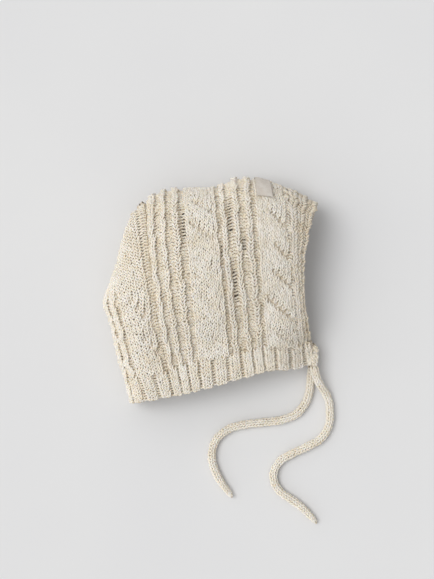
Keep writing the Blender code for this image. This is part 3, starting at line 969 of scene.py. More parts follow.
@dataclass
class Chart:
    """Columns of one side, block by block, and how ribs and cables move and raise them.

    Lifts, depths and unevenness are metres, wobbles and shifts are stitches, and places and
    widths across a cable are shares of half its width.
    """

    blocks: tuple[Block, ...]
    cables: tuple[Cable, ...]
    rib_lift: float = 0.0015
    groove_lift: float = -0.0009
    plain_lift: float = 0.0010
    seam_lift: float = 0.0002
    plain_wobble: float = 0.09
    wobble: float = 0.17
    strand_round: float = 0.0008
    unevenness: float = 0.00020
    rib_unevenness: float = 0.00028
    rib_thickness: float = 1.7
    rib_width: float = 0.84
    fold_shift: float = 0.5
    fold_shift_rows: float = 2.2
    end_outside: float = 0.2
    end_inside: float = 0.15
    dent_at: float = -0.4
    dent_rows: float = 0.9
    lobe_at: float = 2.6
    lobe_rows: float = 2.3
    lobe_side: float = 0.45
    lobe_width: float = 0.6
    edge_curl: float = 0.0038
    ladder_sink: float = 0.0008
    ladder_thinning: float = 0.36
    ladder_straight: float = 0.90
    ladder_ease: float = 1.5

    def __post_init__(self) -> None:
        """Lists each column's place, width, height and block."""
        lifts = {
            Worked.RIB: self.rib_lift,
            Worked.GROOVE: self.groove_lift,
            Worked.CABLE: self.plain_lift,
            Worked.PLAIN: self.plain_lift,
            Worked.SEAM: self.seam_lift,
        }
        centres, widths, numbers = [], [], []
        for number, block in enumerate(self.blocks):
            width = (block.end - block.start) / block.columns
            centres += [block.start + width * (order + 0.5) for order in range(block.columns)]
            widths += [width] * block.columns
            numbers += [number] * block.columns
        self.centres = np.array(centres)
        self.widths = np.array(widths)
        self.numbers = np.array(numbers)
        worked = [self.blocks[number].worked for number in numbers]
        self.lifts = np.array([lifts[way] for way in worked])
        curl = smooth_step(FACE_BAND_FROM, EDGE_CURL_AT, self.centres)
        self.lifts = self.lifts - self.edge_curl * curl
        purl = (Worked.GROOVE, Worked.SEAM)
        self.kinds = np.array([-1.0 if way in purl else 1.0 for way in worked])
        self.ribbed = np.array([way is Worked.RIB for way in worked])
        cable_blocks = [n for n, block in enumerate(self.blocks) if block.worked is Worked.CABLE]
        self.cable_of = dict(zip(cable_blocks, self.cables))

    def lay(self, column: Array, row: Array) -> tuple[Array, Array]:
        """Where a stitch lies across the side and how far it stands out.

        Args:
            column: Whole column numbers.
            row: Rows, whole or not.

        Returns:
            Places across in the shape's stitches, and lifts in metres.
        """
        at = self.centres[column].copy()
        lift = self.lifts[column] + self.unevenness * waver(COLUMN_WAVES, row, column)
        number = self.numbers[column]
        wobble = np.where(self.ribbed[column], self.wobble, self.plain_wobble)
        at = at + wobble * waver(SWAYS, row, number)
        swell = self.rib_unevenness * waver(SWELLS, row, number)
        lift = lift + np.where(self.ribbed[column], swell, 0.0)
        for block_number, cable in self.cable_of.items():
            block = self.blocks[block_number]
            inside = number == block_number
            half = block.columns / 2
            width = (block.end - block.start) / block.columns
            order = column - int(np.argmax(self.numbers == block_number))
            shift, raised = self.fold(cable, row, (order + 0.5 - half) / half)
            at = np.where(inside, at + width * shift, at)
            lift = np.where(inside, lift + raised, lift)
        return at, lift - self.ladder_sink * self.drawn(column, row)

    def fold(self, cable: Cable, row: Array, share: Array) -> tuple[Array, Array]:
        """How the creases of a cable move and raise its stitches.

        Args:
            cable: The cable.
            row: Rows.
            share: Place across the cable, from -1 to 1.

        Returns:
            Shift across in columns, and lift in metres.
        """
        shift = np.zeros(len(row))
        lift = self.strand_round * (1 - share**2)
        for crease in cable.creases:
            past = row - crease.row + cable.slope * share
            low, high = crease.left - self.end_outside, crease.left + self.end_inside
            window = smooth_step(low, high, share)
            low, high = crease.right + self.end_outside, crease.right - self.end_inside
            window = window * smooth_step(low, high, share)
            dent = bell((past - self.dent_at) / self.dent_rows)
            lobe = bell((past - self.lobe_at) / self.lobe_rows)
            lobe = lobe * bell((share - self.lobe_side) / self.lobe_width)
            shift = shift - self.fold_shift * window * bell(past / self.fold_shift_rows)
            lift = lift + crease.lobe * lobe - crease.depth * window * dent
        return shift, lift

    def drawn(self, column: Array, row: Array) -> Array:
        """How far the yarn of a stitch has drawn thin into a ladder bar.

        Args:
            column: Column numbers.
            row: Rows.

        Returns:
            Shares from 0 to 1.
        """
        share = np.zeros(len(row))
        ease = self.ladder_ease
        for ladder in LADDERS:
            inside = (self.centres[column] > ladder.start) & (self.centres[column] < ladder.end)
            rise = smooth_step(ladder.first_row - ease, ladder.first_row + ease, row)
            fall = smooth_step(ladder.last_row + ease, ladder.last_row - ease, row)
            share = np.maximum(share, np.where(inside, rise * fall, 0.0))
        return share

    def thickness(self, column: Array, row: Array) -> Array:
        """Thickness of a stitch's yarn against the usual one."""
        thickness = np.where(self.ribbed[column], self.rib_thickness, 1.0)
        return thickness - self.ladder_thinning * self.drawn(column, row)

    def web_lift(self, place: Array) -> Array:
        """Height of the web behind the yarn at any place across."""
        return np.interp(place, self.centres, self.lifts - WEB_SINK)


@dataclass
class Fabric:
    """One knitted piece: the grid that it lies on, its yarn and its small unevenness."""

    name: str
    grid: Grid | None
    yarn: Yarn
    slack: float = 0.00018
    stretch: float = 0.03
    stretch_spread: float = 0.06
    thickness_spread: float = 0.10
    tone_spread: float = 0.24

    def frames(
        self, column: Array, row: Array, lay: Callable, kind: Array, course: Array, width: Array
    ) -> Stitches:
        """Frames of the stitches on the grid.

        Args:
            column: Column numbers.
            row: Row numbers.
            lay: Gives chart column and lift for column numbers and rows.
            kind: 1 for knit and -1 for purl.
            course: Number of the yarn that each belongs to.
            width: Width of each stitch in chart columns.

        Returns:
            The stitches.
        """
        rng = np.random.default_rng(SEEDS[self.name])
        at, lift = lay(column, row)
        centre = self.grid.read(at, row, lift)
        normal = self.grid.normal(at, row)
        before_at, before_lift = lay(column, row - 0.5)
        after_at, after_lift = lay(column, row + 0.5)
        along = self.grid.read(after_at, row + 0.5, after_lift)
        along = along - self.grid.read(before_at, row - 0.5, before_lift)
        across = self.grid.read(at + width / 2, row, lift) - self.grid.read(at - width / 2, row, lift)
        scale = 1 + rng.normal(self.stretch, self.stretch_spread, (len(column), 1))
        # Painted light and shade: stitches that stand out are coloured paler and stitches in the grooves
        # darker, by their lift, before random tone is added.
        lift_shading = (lift - GROOVE_SHADE_LIFT) / (RAISED_LIGHT_LIFT - GROOVE_SHADE_LIFT)
        return Stitches(
            centre=centre + rng.normal(0.0, self.slack, centre.shape),
            across=across * scale,
            along=along,
            outward=normal * kind[:, None],
            away=normal,
            course=course,
            thickness=1 + rng.normal(0.0, self.thickness_spread, len(column)),
            tone=np.clip(lift_shading + rng.normal(0.0, self.tone_spread, len(column)), 0.0, 1.0),
        )

    def knit(self, stitches: Stitches, bench: TreeBench, material: Material) -> Object:
        """Makes the yarn of the stitches as one piece.

        Args:
            stitches: Stitches in yarn order.
            bench: The stitch tree.
            material: The wool.

        Returns:
            The finished piece.
        """
        resting = self.yarn.depth + self.yarn.radius * stitches.thickness + FLOOR_GAP
        resting = resting + abs(stitches.across[:, 2]) / 2 + self.yarn.reach * abs(stitches.along[:, 2])
        stitches.centre[:, 2] = np.maximum(stitches.centre[:, 2], resting)
        source = course_mesh(self.name, stitches, self.yarn.points)
        values = {
            "Lean": self.yarn.lean,
            "Reach": self.yarn.reach,
            "Depth": self.yarn.depth,
            "Yarn radius": self.yarn.radius,
            "Yarn sides": self.yarn.sides,
            "Material": material,
        }
        piece = mesh_from_tree(self.name, source, bench, values)
        LOG.info("%s: %d stitches, %d faces", self.name, len(stitches.centre), len(piece.data.polygons))
        return piece


def mount(piece: Object, slot: str, *nodes: str) -> None:
    """Lets a finished piece ride on the bonnet's body and stand for its solids.

    Args:
        piece: The piece, which loses the attributes that only its making needed.
        slot: Not used.
        nodes: Solids that it stands for.
    """
    for label in YARN_WORKINGS:
        found = piece.data.attributes.get(label)
        if found:
            piece.data.attributes.remove(found)
    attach(piece, BODY)
    if nodes:
        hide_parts(*nodes)


def grid_mesh(
    name: str, places: Array, columns: Array, rows: Array, gaps: Array | None = None
) -> bpy.types.Mesh:
    """A mesh of quads through a grid of places, with the chart as its UV map.

    Args:
        name: Name of the mesh.
        places: Grid of points, columns by rows.
        columns: Chart columns for U.
        rows: Chart rows for V.
        gaps: True for each quad that is left open.

    Returns:
        The mesh, facing along columns cross rows.
    """
    wide, tall = places.shape[:2]
    order = np.arange(wide * tall).reshape(wide, tall)
    corners = np.stack([order[:-1, :-1], order[1:, :-1], order[1:, 1:], order[:-1, 1:]], -1)
    corners = corners.reshape(-1, 4) if gaps is None else corners[~gaps]
    mesh = bpy.data.meshes.new(name)
    mesh.from_pydata(places.reshape(-1, 3), [], corners.tolist())
    chart = np.stack(np.meshgrid(columns, rows, indexing="ij"), -1).reshape(-1, 2)
    layer = mesh.uv_layers.new(name="chart")
    layer.data.foreach_set("uv", chart[corners.ravel()].ravel())
    mesh.shade_smooth()
    return mesh


def close_web(name: str, mesh: bpy.types.Mesh, thickness: float, material: Material) -> Object:
    """Gives a grid its thickness and keeps the result as a plain closed mesh.

    Args:
        name: Name of the piece.
        mesh: The grid's mesh.
        thickness: Thickness about the grid.
        material: Its finish.

    Returns:
        The finished piece.
    """
    piece = link_new(name, mesh)
    wall = piece.modifiers.new("wall", "SOLIDIFY")
    wall.thickness = thickness
    wall.offset = 0.0
    settle(piece)
    piece.data.materials.clear()
    piece.data.materials.append(material)
    return piece


FIBRE_FACING = 0.3  # fibres stand only where the yarn faces outwards by more than this
FIBRE_LEAN = 1.25  # radians that a fibre leans at most
FIBRE_TURN = 6.28  # and turns about its root at most
FIBRE_SIDES = 3
LEAN_SEED = 3
SIZE_SEED = 5
SHORTEST_FIBRE = 0.45  # shares of the usual length
LONGEST_FIBRE = 1.25


def fuzz_tree() -> TreeBench:
    """The tree that sets fine fibres on the yarn, standing off towards the outside.

    Returns:
        The tree. Its source is a piece of yarn.
    """
    bench = TreeBench("wool_fuzz")
    density, length, width = (bench.size(name) for name in ("Density", "Fibre length", "Fibre width"))
    seed = bench.size("Seed", "Int")
    material = bench.size("Material", "Material")
    normal = bench.node("GeometryNodeInputNormal").outputs[0]
    facing = bench.vector_math("DOT_PRODUCT", normal, bench.vector("away")).outputs["Value"]
    outside = bench.node("FunctionNodeCompare", {0: facing, 1: FIBRE_FACING}, operation="GREATER_THAN")
    place = bench.node("GeometryNodeInputPosition").outputs[0]
    height = bench.node("ShaderNodeSeparateXYZ", {0: place}).outputs["Z"]
    off_floor = bench.node("FunctionNodeCompare", {0: height, 1: FUZZ_FROM}, operation="GREATER_THAN")
    open_side = bench.node("FunctionNodeBooleanMath", {0: outside.outputs[0], 1: off_floor.outputs[0]})
    inputs = {
        "Mesh": bench.start.outputs["Geometry"],
        "Selection": open_side.outputs[0],
        "Density": density,
        "Seed": seed,
    }
    points = bench.node("GeometryNodeDistributePointsOnFaces", inputs)
    inputs = {
        "Vertices": FIBRE_SIDES,
        "Side Segments": 1,
        "Radius Top": 0.0,
        "Radius Bottom": width,
        "Depth": length,
    }
    fibre = bench.node("GeometryNodeMeshCone", inputs)
    least, most = (-FIBRE_LEAN, -FIBRE_LEAN, 0.0), (FIBRE_LEAN, FIBRE_LEAN, FIBRE_TURN)
    inputs = {0: least, 1: most, "Seed": LEAN_SEED}
    lean = bench.node("FunctionNodeRandomValue", inputs, data_type="FLOAT_VECTOR")
    inputs = {"Vector": points.outputs["Normal"]}
    stood = bench.node("FunctionNodeAlignRotationToVector", inputs, axis="Z")
    inputs = {"Rotation": stood.outputs[0], "Rotate By": lean.outputs[0]}
    turned = bench.node("FunctionNodeRotateRotation", inputs, rotation_space="LOCAL")
    inputs = {2: SHORTEST_FIBRE, 3: LONGEST_FIBRE, "Seed": SIZE_SEED}
    size = bench.node("FunctionNodeRandomValue", inputs, data_type="FLOAT")
    inputs = {
        "Points": points.outputs["Points"],
        "Instance": fibre.outputs["Mesh"],
        "Rotation": turned.outputs[0],
        "Scale": size.outputs[1],
    }
    bench.finish(bench.node("GeometryNodeInstanceOnPoints", inputs).outputs[0], material)
    return bench


@dataclass
class Fuzz:
    """Fine fibres that stand off the yarn and soften its outline."""

    bench: TreeBench
    material: Material
    length: float = 0.0024
    width: float = 0.000045
    per_square_metre: float = 240000.0
    first_seed: int = 41

    def grow(self, piece: Object, name: str, seed: int, slot: str) -> None:
        """Grows fibres on a yarn piece, as a piece of its own.

        Args:
            piece: The yarn.
            name: Name of the fibres.
            seed: Seed of their places.
            slot: Material slot of the record.
        """
        values = {
            "Density": self.per_square_metre,
            "Fibre length": self.length,
            "Fibre width": self.width,
            "Seed": seed,
            "Material": self.material,
        }
        made = mesh_from_tree(name, piece.data.copy(), self.bench, values)
        LOG.info("%s: %d faces", name, len(made.data.polygons))
        mount(made, slot)


class ShaderBench(NodeBench):
    """Builds the nodes of one material."""

    def __init__(self, name: str) -> None:
        """Starts a material with a Principled shader.

        Args:
            name: Name of the material.
        """
        self.material = bpy.data.materials.new(name)
        self.material.use_nodes = True
        super().__init__(self.material.node_tree)
        self.shader = self.tree.nodes["Principled BSDF"]

    def place(self) -> Socket:
        """Places in the bonnet's own coordinates."""
        return self.node("ShaderNodeTexCoord").outputs["Object"]

    def chart(self) -> Socket:
        """Places in the piece's own chart."""
        return self.node("ShaderNodeUVMap", uv_map="chart").outputs["UV"]

    def attribute(self, name: str) -> Socket:
        """A number kept on the piece."""
        return self.node("ShaderNodeAttribute", attribute_name=name).outputs["Fac"]

    def ramp(self, source: Socket, *stops: tuple[float, Colour]) -> Socket:
        """A colour ramp.

        Args:
            source: A number from 0 to 1.
            stops: The colours and their places.

        Returns:
            The colour.
        """
        made = self.node("ShaderNodeValToRGB", {"Fac": source})
        line = made.color_ramp
        while len(line.elements) < len(stops):
            line.elements.new(0.5)
        for element, (place, colour) in zip(line.elements, stops):
            element.position = place
            element.color = (*colour, 1.0)
        return made.outputs["Color"]

    def noise(self, scale: float, detail: float = 3.0) -> Socket:
        """A noise between 0 and 1, at the bonnet's own places."""
        inputs = {"Vector": self.place(), "Scale": scale, "Detail": detail}
        return self.node("ShaderNodeTexNoise", inputs).outputs["Fac"]

    def times(self, share: float, first: Socket, second: Socket) -> Socket:
        """A colour darkened by another.

        Args:
            share: How much of the other takes part.
            first: The colour.
            second: The other one.

        Returns:
            The colour.
        """
        made = self.tree.nodes.new("ShaderNodeMix")
        made.data_type = "RGBA"
        made.blend_type = "MULTIPLY"
        made.inputs[0].default_value = share
        colours = [socket for socket in made.inputs if socket.type == "RGBA"]
        for socket, colour in zip(colours, (first, second)):
            self.feed(socket, colour)
        return next(socket for socket in made.outputs if socket.type == "RGBA")

    def paint(self, colour: Socket) -> None:
        """Gives the shader its colour."""
        self.feed(self.shader.inputs["Base Color"], colour)

    def bump(self, height: Socket, strength: float, distance: float) -> None:
        """Bumps the shader's normal."""
        inputs = {"Height": height, "Strength": strength, "Distance": distance}
        self.feed(self.shader.inputs["Normal"], self.node("ShaderNodeBump", inputs).outputs["Normal"])

    def constant(self, **values: object) -> None:
        """Sets plain values on the shader's own sockets."""
        for name, value in values.items():
            self.shader.inputs[name.replace("_", " ")].default_value = value


@dataclass(frozen=True)
class Wool:
    """Soft cream wool with twisted plies, and painted light and shade: paler where it stands out, darker
    and warmer in the grooves and where the yarn dives under its neighbours.
    """

    name: str = "cream_wool"
    # The first three colours paint light and shade by a stitch's lift: darker and warmer in the grooves,
    # paler where it stands out.
    groove_shade: Colour = (0.92, 0.84, 0.71)
    warm: Colour = (0.95, 0.885, 0.78)
    pale: Colour = (0.975, 0.925, 0.845)
    # Painted shade where the yarn dives under its neighbours.
    hollow: Colour = (0.70, 0.64, 0.55)
    cloud: Colour = (0.93, 0.90, 0.84)
    speck: Colour = (0.74, 0.67, 0.56)
    heather: Colour = (0.84, 0.80, 0.73)
    cloud_scale: float = 75.0
    fibre_scale: float = 2400.0
    heather_scale: float = 620.0
    cloud_share: float = 0.8
    speck_share: float = 0.35
    heather_share: float = 0.6
    ply_length: float = 0.0042
    ply_share: float = 0.35
    bump_depth: float = 0.00025

    def build(self) -> Material:
        """Makes the material.

        Returns:
            The material, which reads the yarn's random tone with its painted groove shade, its run and
            round, and how far it dives under its neighbours, for painted shade there.
        """
        bench = ShaderBench(self.name)
        # Painted light and shade by lift, mixed with random tone.
        tone = bench.attribute("tone")
        colour = bench.ramp(tone, (0.0, self.groove_shade), (0.45, self.warm), (0.95, self.pale))
        cloud = bench.ramp(bench.noise(self.cloud_scale), (0.32, self.cloud), (0.62, WHITE))
        colour = bench.times(self.cloud_share, colour, cloud)
        fibre = bench.noise(self.fibre_scale)
        speck = bench.ramp(fibre, (0.28, self.speck), (0.62, WHITE))
        colour = bench.times(self.speck_share, colour, speck)
        heather = bench.ramp(bench.noise(self.heather_scale, 2.0), (0.30, self.heather), (0.58, WHITE))
        colour = bench.times(self.heather_share, colour, heather)
        # Painted shade where the yarn dives under its neighbours.
        sunk_shade = bench.ramp(bench.attribute("behind"), (0.45, WHITE), (1.0, self.hollow))
        bench.paint(bench.times(1.0, colour, sunk_shade))
        along = bench.math("MULTIPLY", bench.attribute("yarn_run"), 2 * math.pi / self.ply_length)
        around = bench.math("MULTIPLY", bench.attribute("yarn_round"), 4 * math.pi)
        ply = bench.math("SINE", bench.math("ADD", along, around))
        height = bench.math("MULTIPLY_ADD", ply, self.ply_share, fibre)
        bench.bump(height, 0.6, self.bump_depth)
        bench.constant(Roughness=0.88, Sheen_Weight=0.3, Sheen_Roughness=0.5)
        bench.constant(Subsurface_Weight=0.25, Subsurface_Scale=0.0015, Specular_IOR_Level=0.2)
        bench.constant(Subsurface_Radius=(1.0, 0.75, 0.5))
        return bench.material


# A darker copy of the cream wool for the face band, as painted shade: the face band lies darker in the
# light than the rest.
SHADED_EDGE_WOOL = Wool("edge_wool", (0.83, 0.755, 0.64), (0.855, 0.795, 0.70), (0.88, 0.83, 0.76))


@dataclass(frozen=True)
class FuzzWool:
    """The loose fibres of the same wool, slightly darker in patches."""

    name: str = "wool_fibres"
    shade: Colour = (0.88, 0.82, 0.72)
    colour: Colour = (0.95, 0.92, 0.86)
    patch_scale: float = 400.0

    def build(self) -> Material:
        """Makes the material.

        Returns:
            The material.
        """
        bench = ShaderBench(self.name)
        bench.paint(bench.ramp(bench.noise(self.patch_scale), (0.3, self.shade), (0.65, self.colour)))
        bench.constant(Roughness=0.9, Specular_IOR_Level=0.1, Sheen_Weight=0.2)
        return bench.material


@dataclass(frozen=True)
class WebWool:
    """The back of the knitting: rows of small bumps, seen through the gaps and from inside, coloured
    darker and browner than the yarn as painted shade, darkest in the valleys between the bumps.
    """

    name: str = "wool_behind"
    # Painted shade: both colours are the cream wool darkened, the first in the valleys between the bumps
    # and the second on their tops.
    colour: Colour = (0.64, 0.54, 0.42)
    light: Colour = (0.86, 0.78, 0.66)
    speck: Colour = (0.82, 0.78, 0.70)
    fibre_scale: float = 1500.0
    purl_bend: float = 1.2
    bump_depth: float = 0.0009

    def build(self) -> Material:
        """Makes the material.

        Returns:
            The material, which reads the chart.
        """
        bench = ShaderBench(self.name)
        chart = bench.node("ShaderNodeSeparateXYZ", {0: bench.chart()})
        across = bench.math("MULTIPLY", chart.outputs["X"], 2 * math.pi)
        up = bench.math("MULTIPLY", chart.outputs["Y"], 2 * math.pi)
        bent = bench.math("MULTIPLY_ADD", bench.math("SINE", across), self.purl_bend, up)
        purl = bench.math("MULTIPLY_ADD", bench.math("SINE", bent), 0.5, 0.5)
        fibre = bench.noise(self.fibre_scale, 4.0)
        colour = bench.ramp(purl, (0.15, self.colour), (0.75, self.light))
        bench.paint(bench.times(0.6, colour, bench.ramp(fibre, (0.3, self.speck), (0.65, WHITE))))
        bench.bump(bench.math("MULTIPLY_ADD", fibre, 0.4, purl), 0.9, self.bump_depth)
        bench.constant(Roughness=0.95, Specular_IOR_Level=0.1, Sheen_Weight=0.2)
        return bench.material


@dataclass(frozen=True)
class Tape:
    """Woven label tape, bare, with its warp and weft."""

    name: str = "label_tape"
    pale: Colour = (0.91, 0.85, 0.77)
    shade: Colour = (0.84, 0.76, 0.67)
    thread: float = 0.00035
    waves_in_a_unit: float = 0.314
    cloud_scale: float = 220.0
    bump_depth: float = 0.0002

    def build(self) -> Material:
        """Makes the material.

        Returns:
            The material, which reads the chart.
        """
        bench = ShaderBench(self.name)
        scale = self.waves_in_a_unit / self.thread
        inputs = {"Vector": bench.chart(), "Scale": scale, "Distortion": 0.4}
        threads = [
            bench.node("ShaderNodeTexWave", inputs, wave_type="BANDS", bands_direction=way)
            for way in ("X", "Y")
        ]
        weave = bench.times(0.5, *(thread.outputs["Fac"] for thread in threads))
        colour = bench.ramp(bench.noise(self.cloud_scale), (0.35, self.shade), (0.65, self.pale))
        bench.paint(bench.times(0.35, colour, weave))
        bench.bump(weave, 0.5, self.bump_depth)
        bench.constant(Roughness=0.7, Specular_IOR_Level=0.3)
        return bench.material


@dataclass(frozen=True)
class Paper:
    """The pale floor, with a faint unevenness."""

    name: str = "pale_paper"
    shade: Colour = (0.715, 0.715, 0.72)
    pale: Colour = (0.735, 0.735, 0.735)
    patch_scale: float = 6.0

    def build(self) -> Material:
        """Makes the material.

        Returns:
            The material.
        """
        bench = ShaderBench(self.name)
        bench.paint(bench.ramp(bench.noise(self.patch_scale, 2.0), (0.3, self.shade), (0.7, self.pale)))
        bench.constant(Roughness=0.9, Specular_IOR_Level=0.1)
        return bench.material


@dataclass
class NeckRibs:
    """Ribs of the neck band. Widths and places are in stitches, the rest is metres or shares."""

    repeat: float = 4.0
    starts: float = 1.0
    ends: float = 3.0
    width: float = 1.42
    relief: float = 0.7
    edge_relief: float = 0.5
    edge_lift: float = 0.0003
    edge_row: float = -0.35
    edge_length: float = 0.45
    unevenness: float = 0.0002
    web_wave: float = 0.0008


@dataclass
class LabelShape:
    """The woven label. Its middle is a place across in stitches.

    Widths, reaches, lifts, ripple and curl are metres, and the drop's ends are shares of its
    length.
    """

    middle: float = 52.4
    width: float = 0.0134
    near_reach: float = 0.0186
    far_reach: float = 0.0022
    lift: float = 0.0054
    lift_drop: float = 0.0024
    ripple: float = 0.00025
    ripple_across: float = 2.4
    ripple_along: float = 5.0
    curl: float = 0.0003
    curl_along: float = 4.0
    drop_from: float = 0.3
    drop_at: float = 0.9
    columns: int = 25
    near_rows: int = 41
    far_rows: int = 6


@dataclass
class Bonnet:
    """The knitted bonnet: strip, back panel, face and neck bands, the webs behind, and the label."""

    shape: LyingShape
    strip_chart: Chart
    panel_chart: Chart
    bench: TreeBench
    wool: Material
    edge_wool: Material
    # The web's wool, darker than the yarn as painted shade.
    behind: Material
    tape: Material
    ribs: NeckRibs = field(default_factory=NeckRibs)
    label: LabelShape = field(default_factory=LabelShape)
    row_pitch: float = 0.0025
    split_at: float = 37.2
    column_steps: int = 400
    panel_steps: int = 80
    neck_steps: int = 252
    neck_edge_share: float = 0.004
    crown_end_share: float = 0.998
    web_thickness: float = 0.0006
    tape_thickness: float = 0.0006
    band_rows: int = 9
    crown_plain_from: float = 0.50
    crown_plain_at: float = 0.62
    crown_thickness: float = 1.15
    ladder_rim: float = 0.30
    seam_web_from: float = 14.0
    seam_web_at: float = 15.2
    web_ends_at: float = 0.22

    def make_grids(self) -> None:
        """Works out the grids of the strip, the back panel and the neck band."""
        shape = self.shape
        columns = np.arange(shape.panel_stitches, shape.side_stitches + GRID_STEP / 2, GRID_STEP)
        fine = np.linspace(shape.band_share, 2 - shape.band_share, self.column_steps + 1)
        lines = shape.strip_place(columns[:, None] + 0 * fine, fine + 0 * columns[:, None])
        steps = np.linalg.norm(np.diff(lines, axis=1), axis=-1)
        run = np.concatenate([np.zeros((len(columns), 1)), np.cumsum(steps, 1)], 1)
        at_fold = np.array([np.interp(1.0, fine, line) for line in run])
        self.near_rows = int(round(at_fold.mean() / self.row_pitch))
        self.far_rows = int(round((run[:, -1] - at_fold).mean() / self.row_pitch))
        rows = np.arange(0, self.near_rows + self.far_rows + GRID_STEP / 2, GRID_STEP)
        ways = np.empty((len(columns), len(rows)))
        for order, line in enumerate(run):
            fold = at_fold[order]
            near = rows / self.near_rows * fold
            far = fold + (rows - self.near_rows) / self.far_rows * (line[-1] - fold)
            ways[order] = np.interp(np.where(rows <= self.near_rows, near, far), line, fine)
        places = shape.strip_place(columns[:, None] + 0 * ways, ways)
        self.strip = Grid(columns, rows, places)
        near_rows = rows[rows <= self.near_rows]
        self.panel_shares = np.minimum(ways[0][: len(near_rows)], self.crown_end_share)
        across = np.linspace(-1, 1, self.panel_steps + 1)
        shares = self.panel_shares[None] + 0 * across[:, None]
        self.panel = Grid(across, near_rows, shape.panel_place(across[:, None] + 0 * shares, shares))
        stitch = np.linspace(-shape.side_stitches, shape.side_stitches, self.neck_steps + 1)
        band = np.linspace(self.neck_edge_share, shape.band_share, 2 * self.band_rows + 1)
        places = shape.band_place(stitch[:, None] + 0 * band, band + 0 * stitch[:, None])
        self.neck = Grid(stitch, np.linspace(0, self.band_rows, len(band)), places)
        LOG.info("rows: %d near, %d far", self.near_rows, self.far_rows)

    def knit_strip(self, name: str, part: tuple[float, float], rows: Array, yarn: Yarn) -> Object:
        """Knits a stretch of the strip.

        Args:
            name: Name of the piece.
            part: Places across, in the shape's stitches, between which its columns lie.
            rows: Whole rows.
            yarn: The yarn.

        Returns:
            The finished piece.
        """
        chart = self.strip_chart
        inside = (chart.centres > part[0]) & (chart.centres < part[1])
        column, row = (a.ravel() for a in np.meshgrid(np.flatnonzero(inside), rows, indexing="xy"))
        order = np.lexsort((column, row))
        column, row = column[order], row[order]
        fabric = Fabric(name, self.strip, yarn)
        stitches = fabric.frames(
            column, row + 0.5, chart.lay, chart.kinds[column], row.astype(int), chart.widths[column]
        )
        stitches.thickness *= chart.thickness(column, row + 0.5)
        stitches.along *= 1 - chart.ladder_straight * chart.drawn(column, row + 0.5)[:, None]
        stitches.across *= np.where(chart.ribbed[column], chart.rib_width, 1.0)[:, None]
        return fabric.knit(stitches, self.bench, self.wool)

    def build_strip(self) -> list[Object]:
        """The ribbed and cabled strip.

        Returns:
            Its rear and front on the near side, and its rear and front on the far side.
        """
        near = np.arange(0, self.near_rows)
        far = np.arange(self.near_rows, self.near_rows + self.far_rows)
        start, end = self.shape.panel_stitches, FACE_BAND_FROM
        rear, front = (start, self.split_at), (self.split_at, end)
        return [
            self.knit_strip("hood_rear_near", rear, near, NEAR_YARN),
            self.knit_strip("hood_front_near", front, near, NEAR_YARN),
            self.knit_strip("hood_rear_far", rear, far, FAR_YARN),
            self.knit_strip("hood_front_far", front, far, FAR_YARN),
        ]

    def build_face_band(self) -> Object:
        """The plain columns along the face opening.

        Returns:
            The finished piece.
        """
        rows = np.arange(0, self.near_rows + self.far_rows)
        part = (FACE_BAND_FROM, self.shape.side_stitches)
        piece = self.knit_strip("face_band_yarn", part, rows, FACE_YARN)
        # The face band's yarn takes the darker wool with painted shade.
        piece.data.materials[0] = self.edge_wool
        return piece

    def build_panel(self) -> Object:
        """The back panel, whose courses run from the near strip over the back fold to the far one.

        Returns:
            The finished piece.
        """
        shape, chart = self.shape, self.panel_chart
        total = len(chart.centres)
        plain_width = (chart.centres[-1] * 2 - shape.panel_stitches) / (total - 1)
        columns, rows, sides = [], [], []
        for row in range(self.near_rows - 1):
            share = float(np.interp(row + 0.5, self.panel.rows, self.panel_shares))
            whole = int(float(shape.panel_count(share)) / shape.panel_stitches * total + STITCH_KEPT)
            near = [total - 1 - step for step in range(whole)]
            columns += near + near[::-1]
            rows += [row] * (2 * whole)
            sides += [1.0] * whole + [-1.0] * whole
        column, row, side = np.array(columns), np.array(rows), np.array(sides)

        def lay(which: Array, at: Array) -> tuple[Array, Array]:
            """Place across the panel, where the fold cuts the columns off as it narrows.

            Args:
                which: Column numbers.
                at: Rows.

            Returns:
                Places across from -1 to 1, and lifts in metres.
            """
            place, lift = chart.lay(which, at)
            fade = self.plain_share(at)
            plain = np.minimum((which + 0.5) * plain_width, chart.centres[-1])
            place = place * (1 - fade) + plain * fade
            share = np.interp(at, self.panel.rows, self.panel_shares)
            count = np.maximum(shape.panel_count(share), BACK_OUTLINE[-1].stitches)
            across = np.maximum(1 - (shape.panel_stitches - place) / count, LEAST_ACROSS)
            faded = lift * (1 - fade) + chart.plain_lift * fade
            return across * side, np.where(which == total - 1, chart.groove_lift, faded)

        faded = (self.plain_share(row + 0.5) > 0.5) & (column < total - 1)
        kind = np.where(faded, 1.0, chart.kinds[column])
        count = shape.panel_count(np.interp(row + 0.5, self.panel.rows, self.panel_shares))
        fabric = Fabric("back_panel_yarn", self.panel, PANEL_YARN)
        fade = self.plain_share(row + 0.5)
        width = chart.widths[column] * (1 - fade) + plain_width * fade
        stitches = fabric.frames(column, row + 0.5, lay, kind, row, -side * width / count)
        ribbed = chart.thickness(column, row + 0.5)
        stitches.thickness *= ribbed * (1 - fade) + self.crown_thickness * fade
        return fabric.knit(stitches, self.bench, self.wool)

    def plain_share(self, row: Array) -> Array:
        """How far the back panel's ribs have faded into the plain crown at a row."""
        share = np.interp(row, self.panel.rows, self.panel_shares)
        return smooth_step(self.crown_plain_from, self.crown_plain_at, share)

    def build_neck_band(self) -> Object:
        """The ribbed band round the neck, from the near front corner to the far one.

        Returns:
            The finished piece.
        """
        ribs = self.ribs
        last = int(self.shape.side_stitches) - 1
        rows = np.arange(-1, self.band_rows)
        column, row = (a.ravel() for a in np.meshgrid(np.arange(-last, last), rows, indexing="xy"))
        spread = (ribs.width - 1) / 2

        def in_repeat(which: Array) -> Array:
            """Place of a column in one rib and groove."""
            return np.abs(which + 0.5) % ribs.repeat

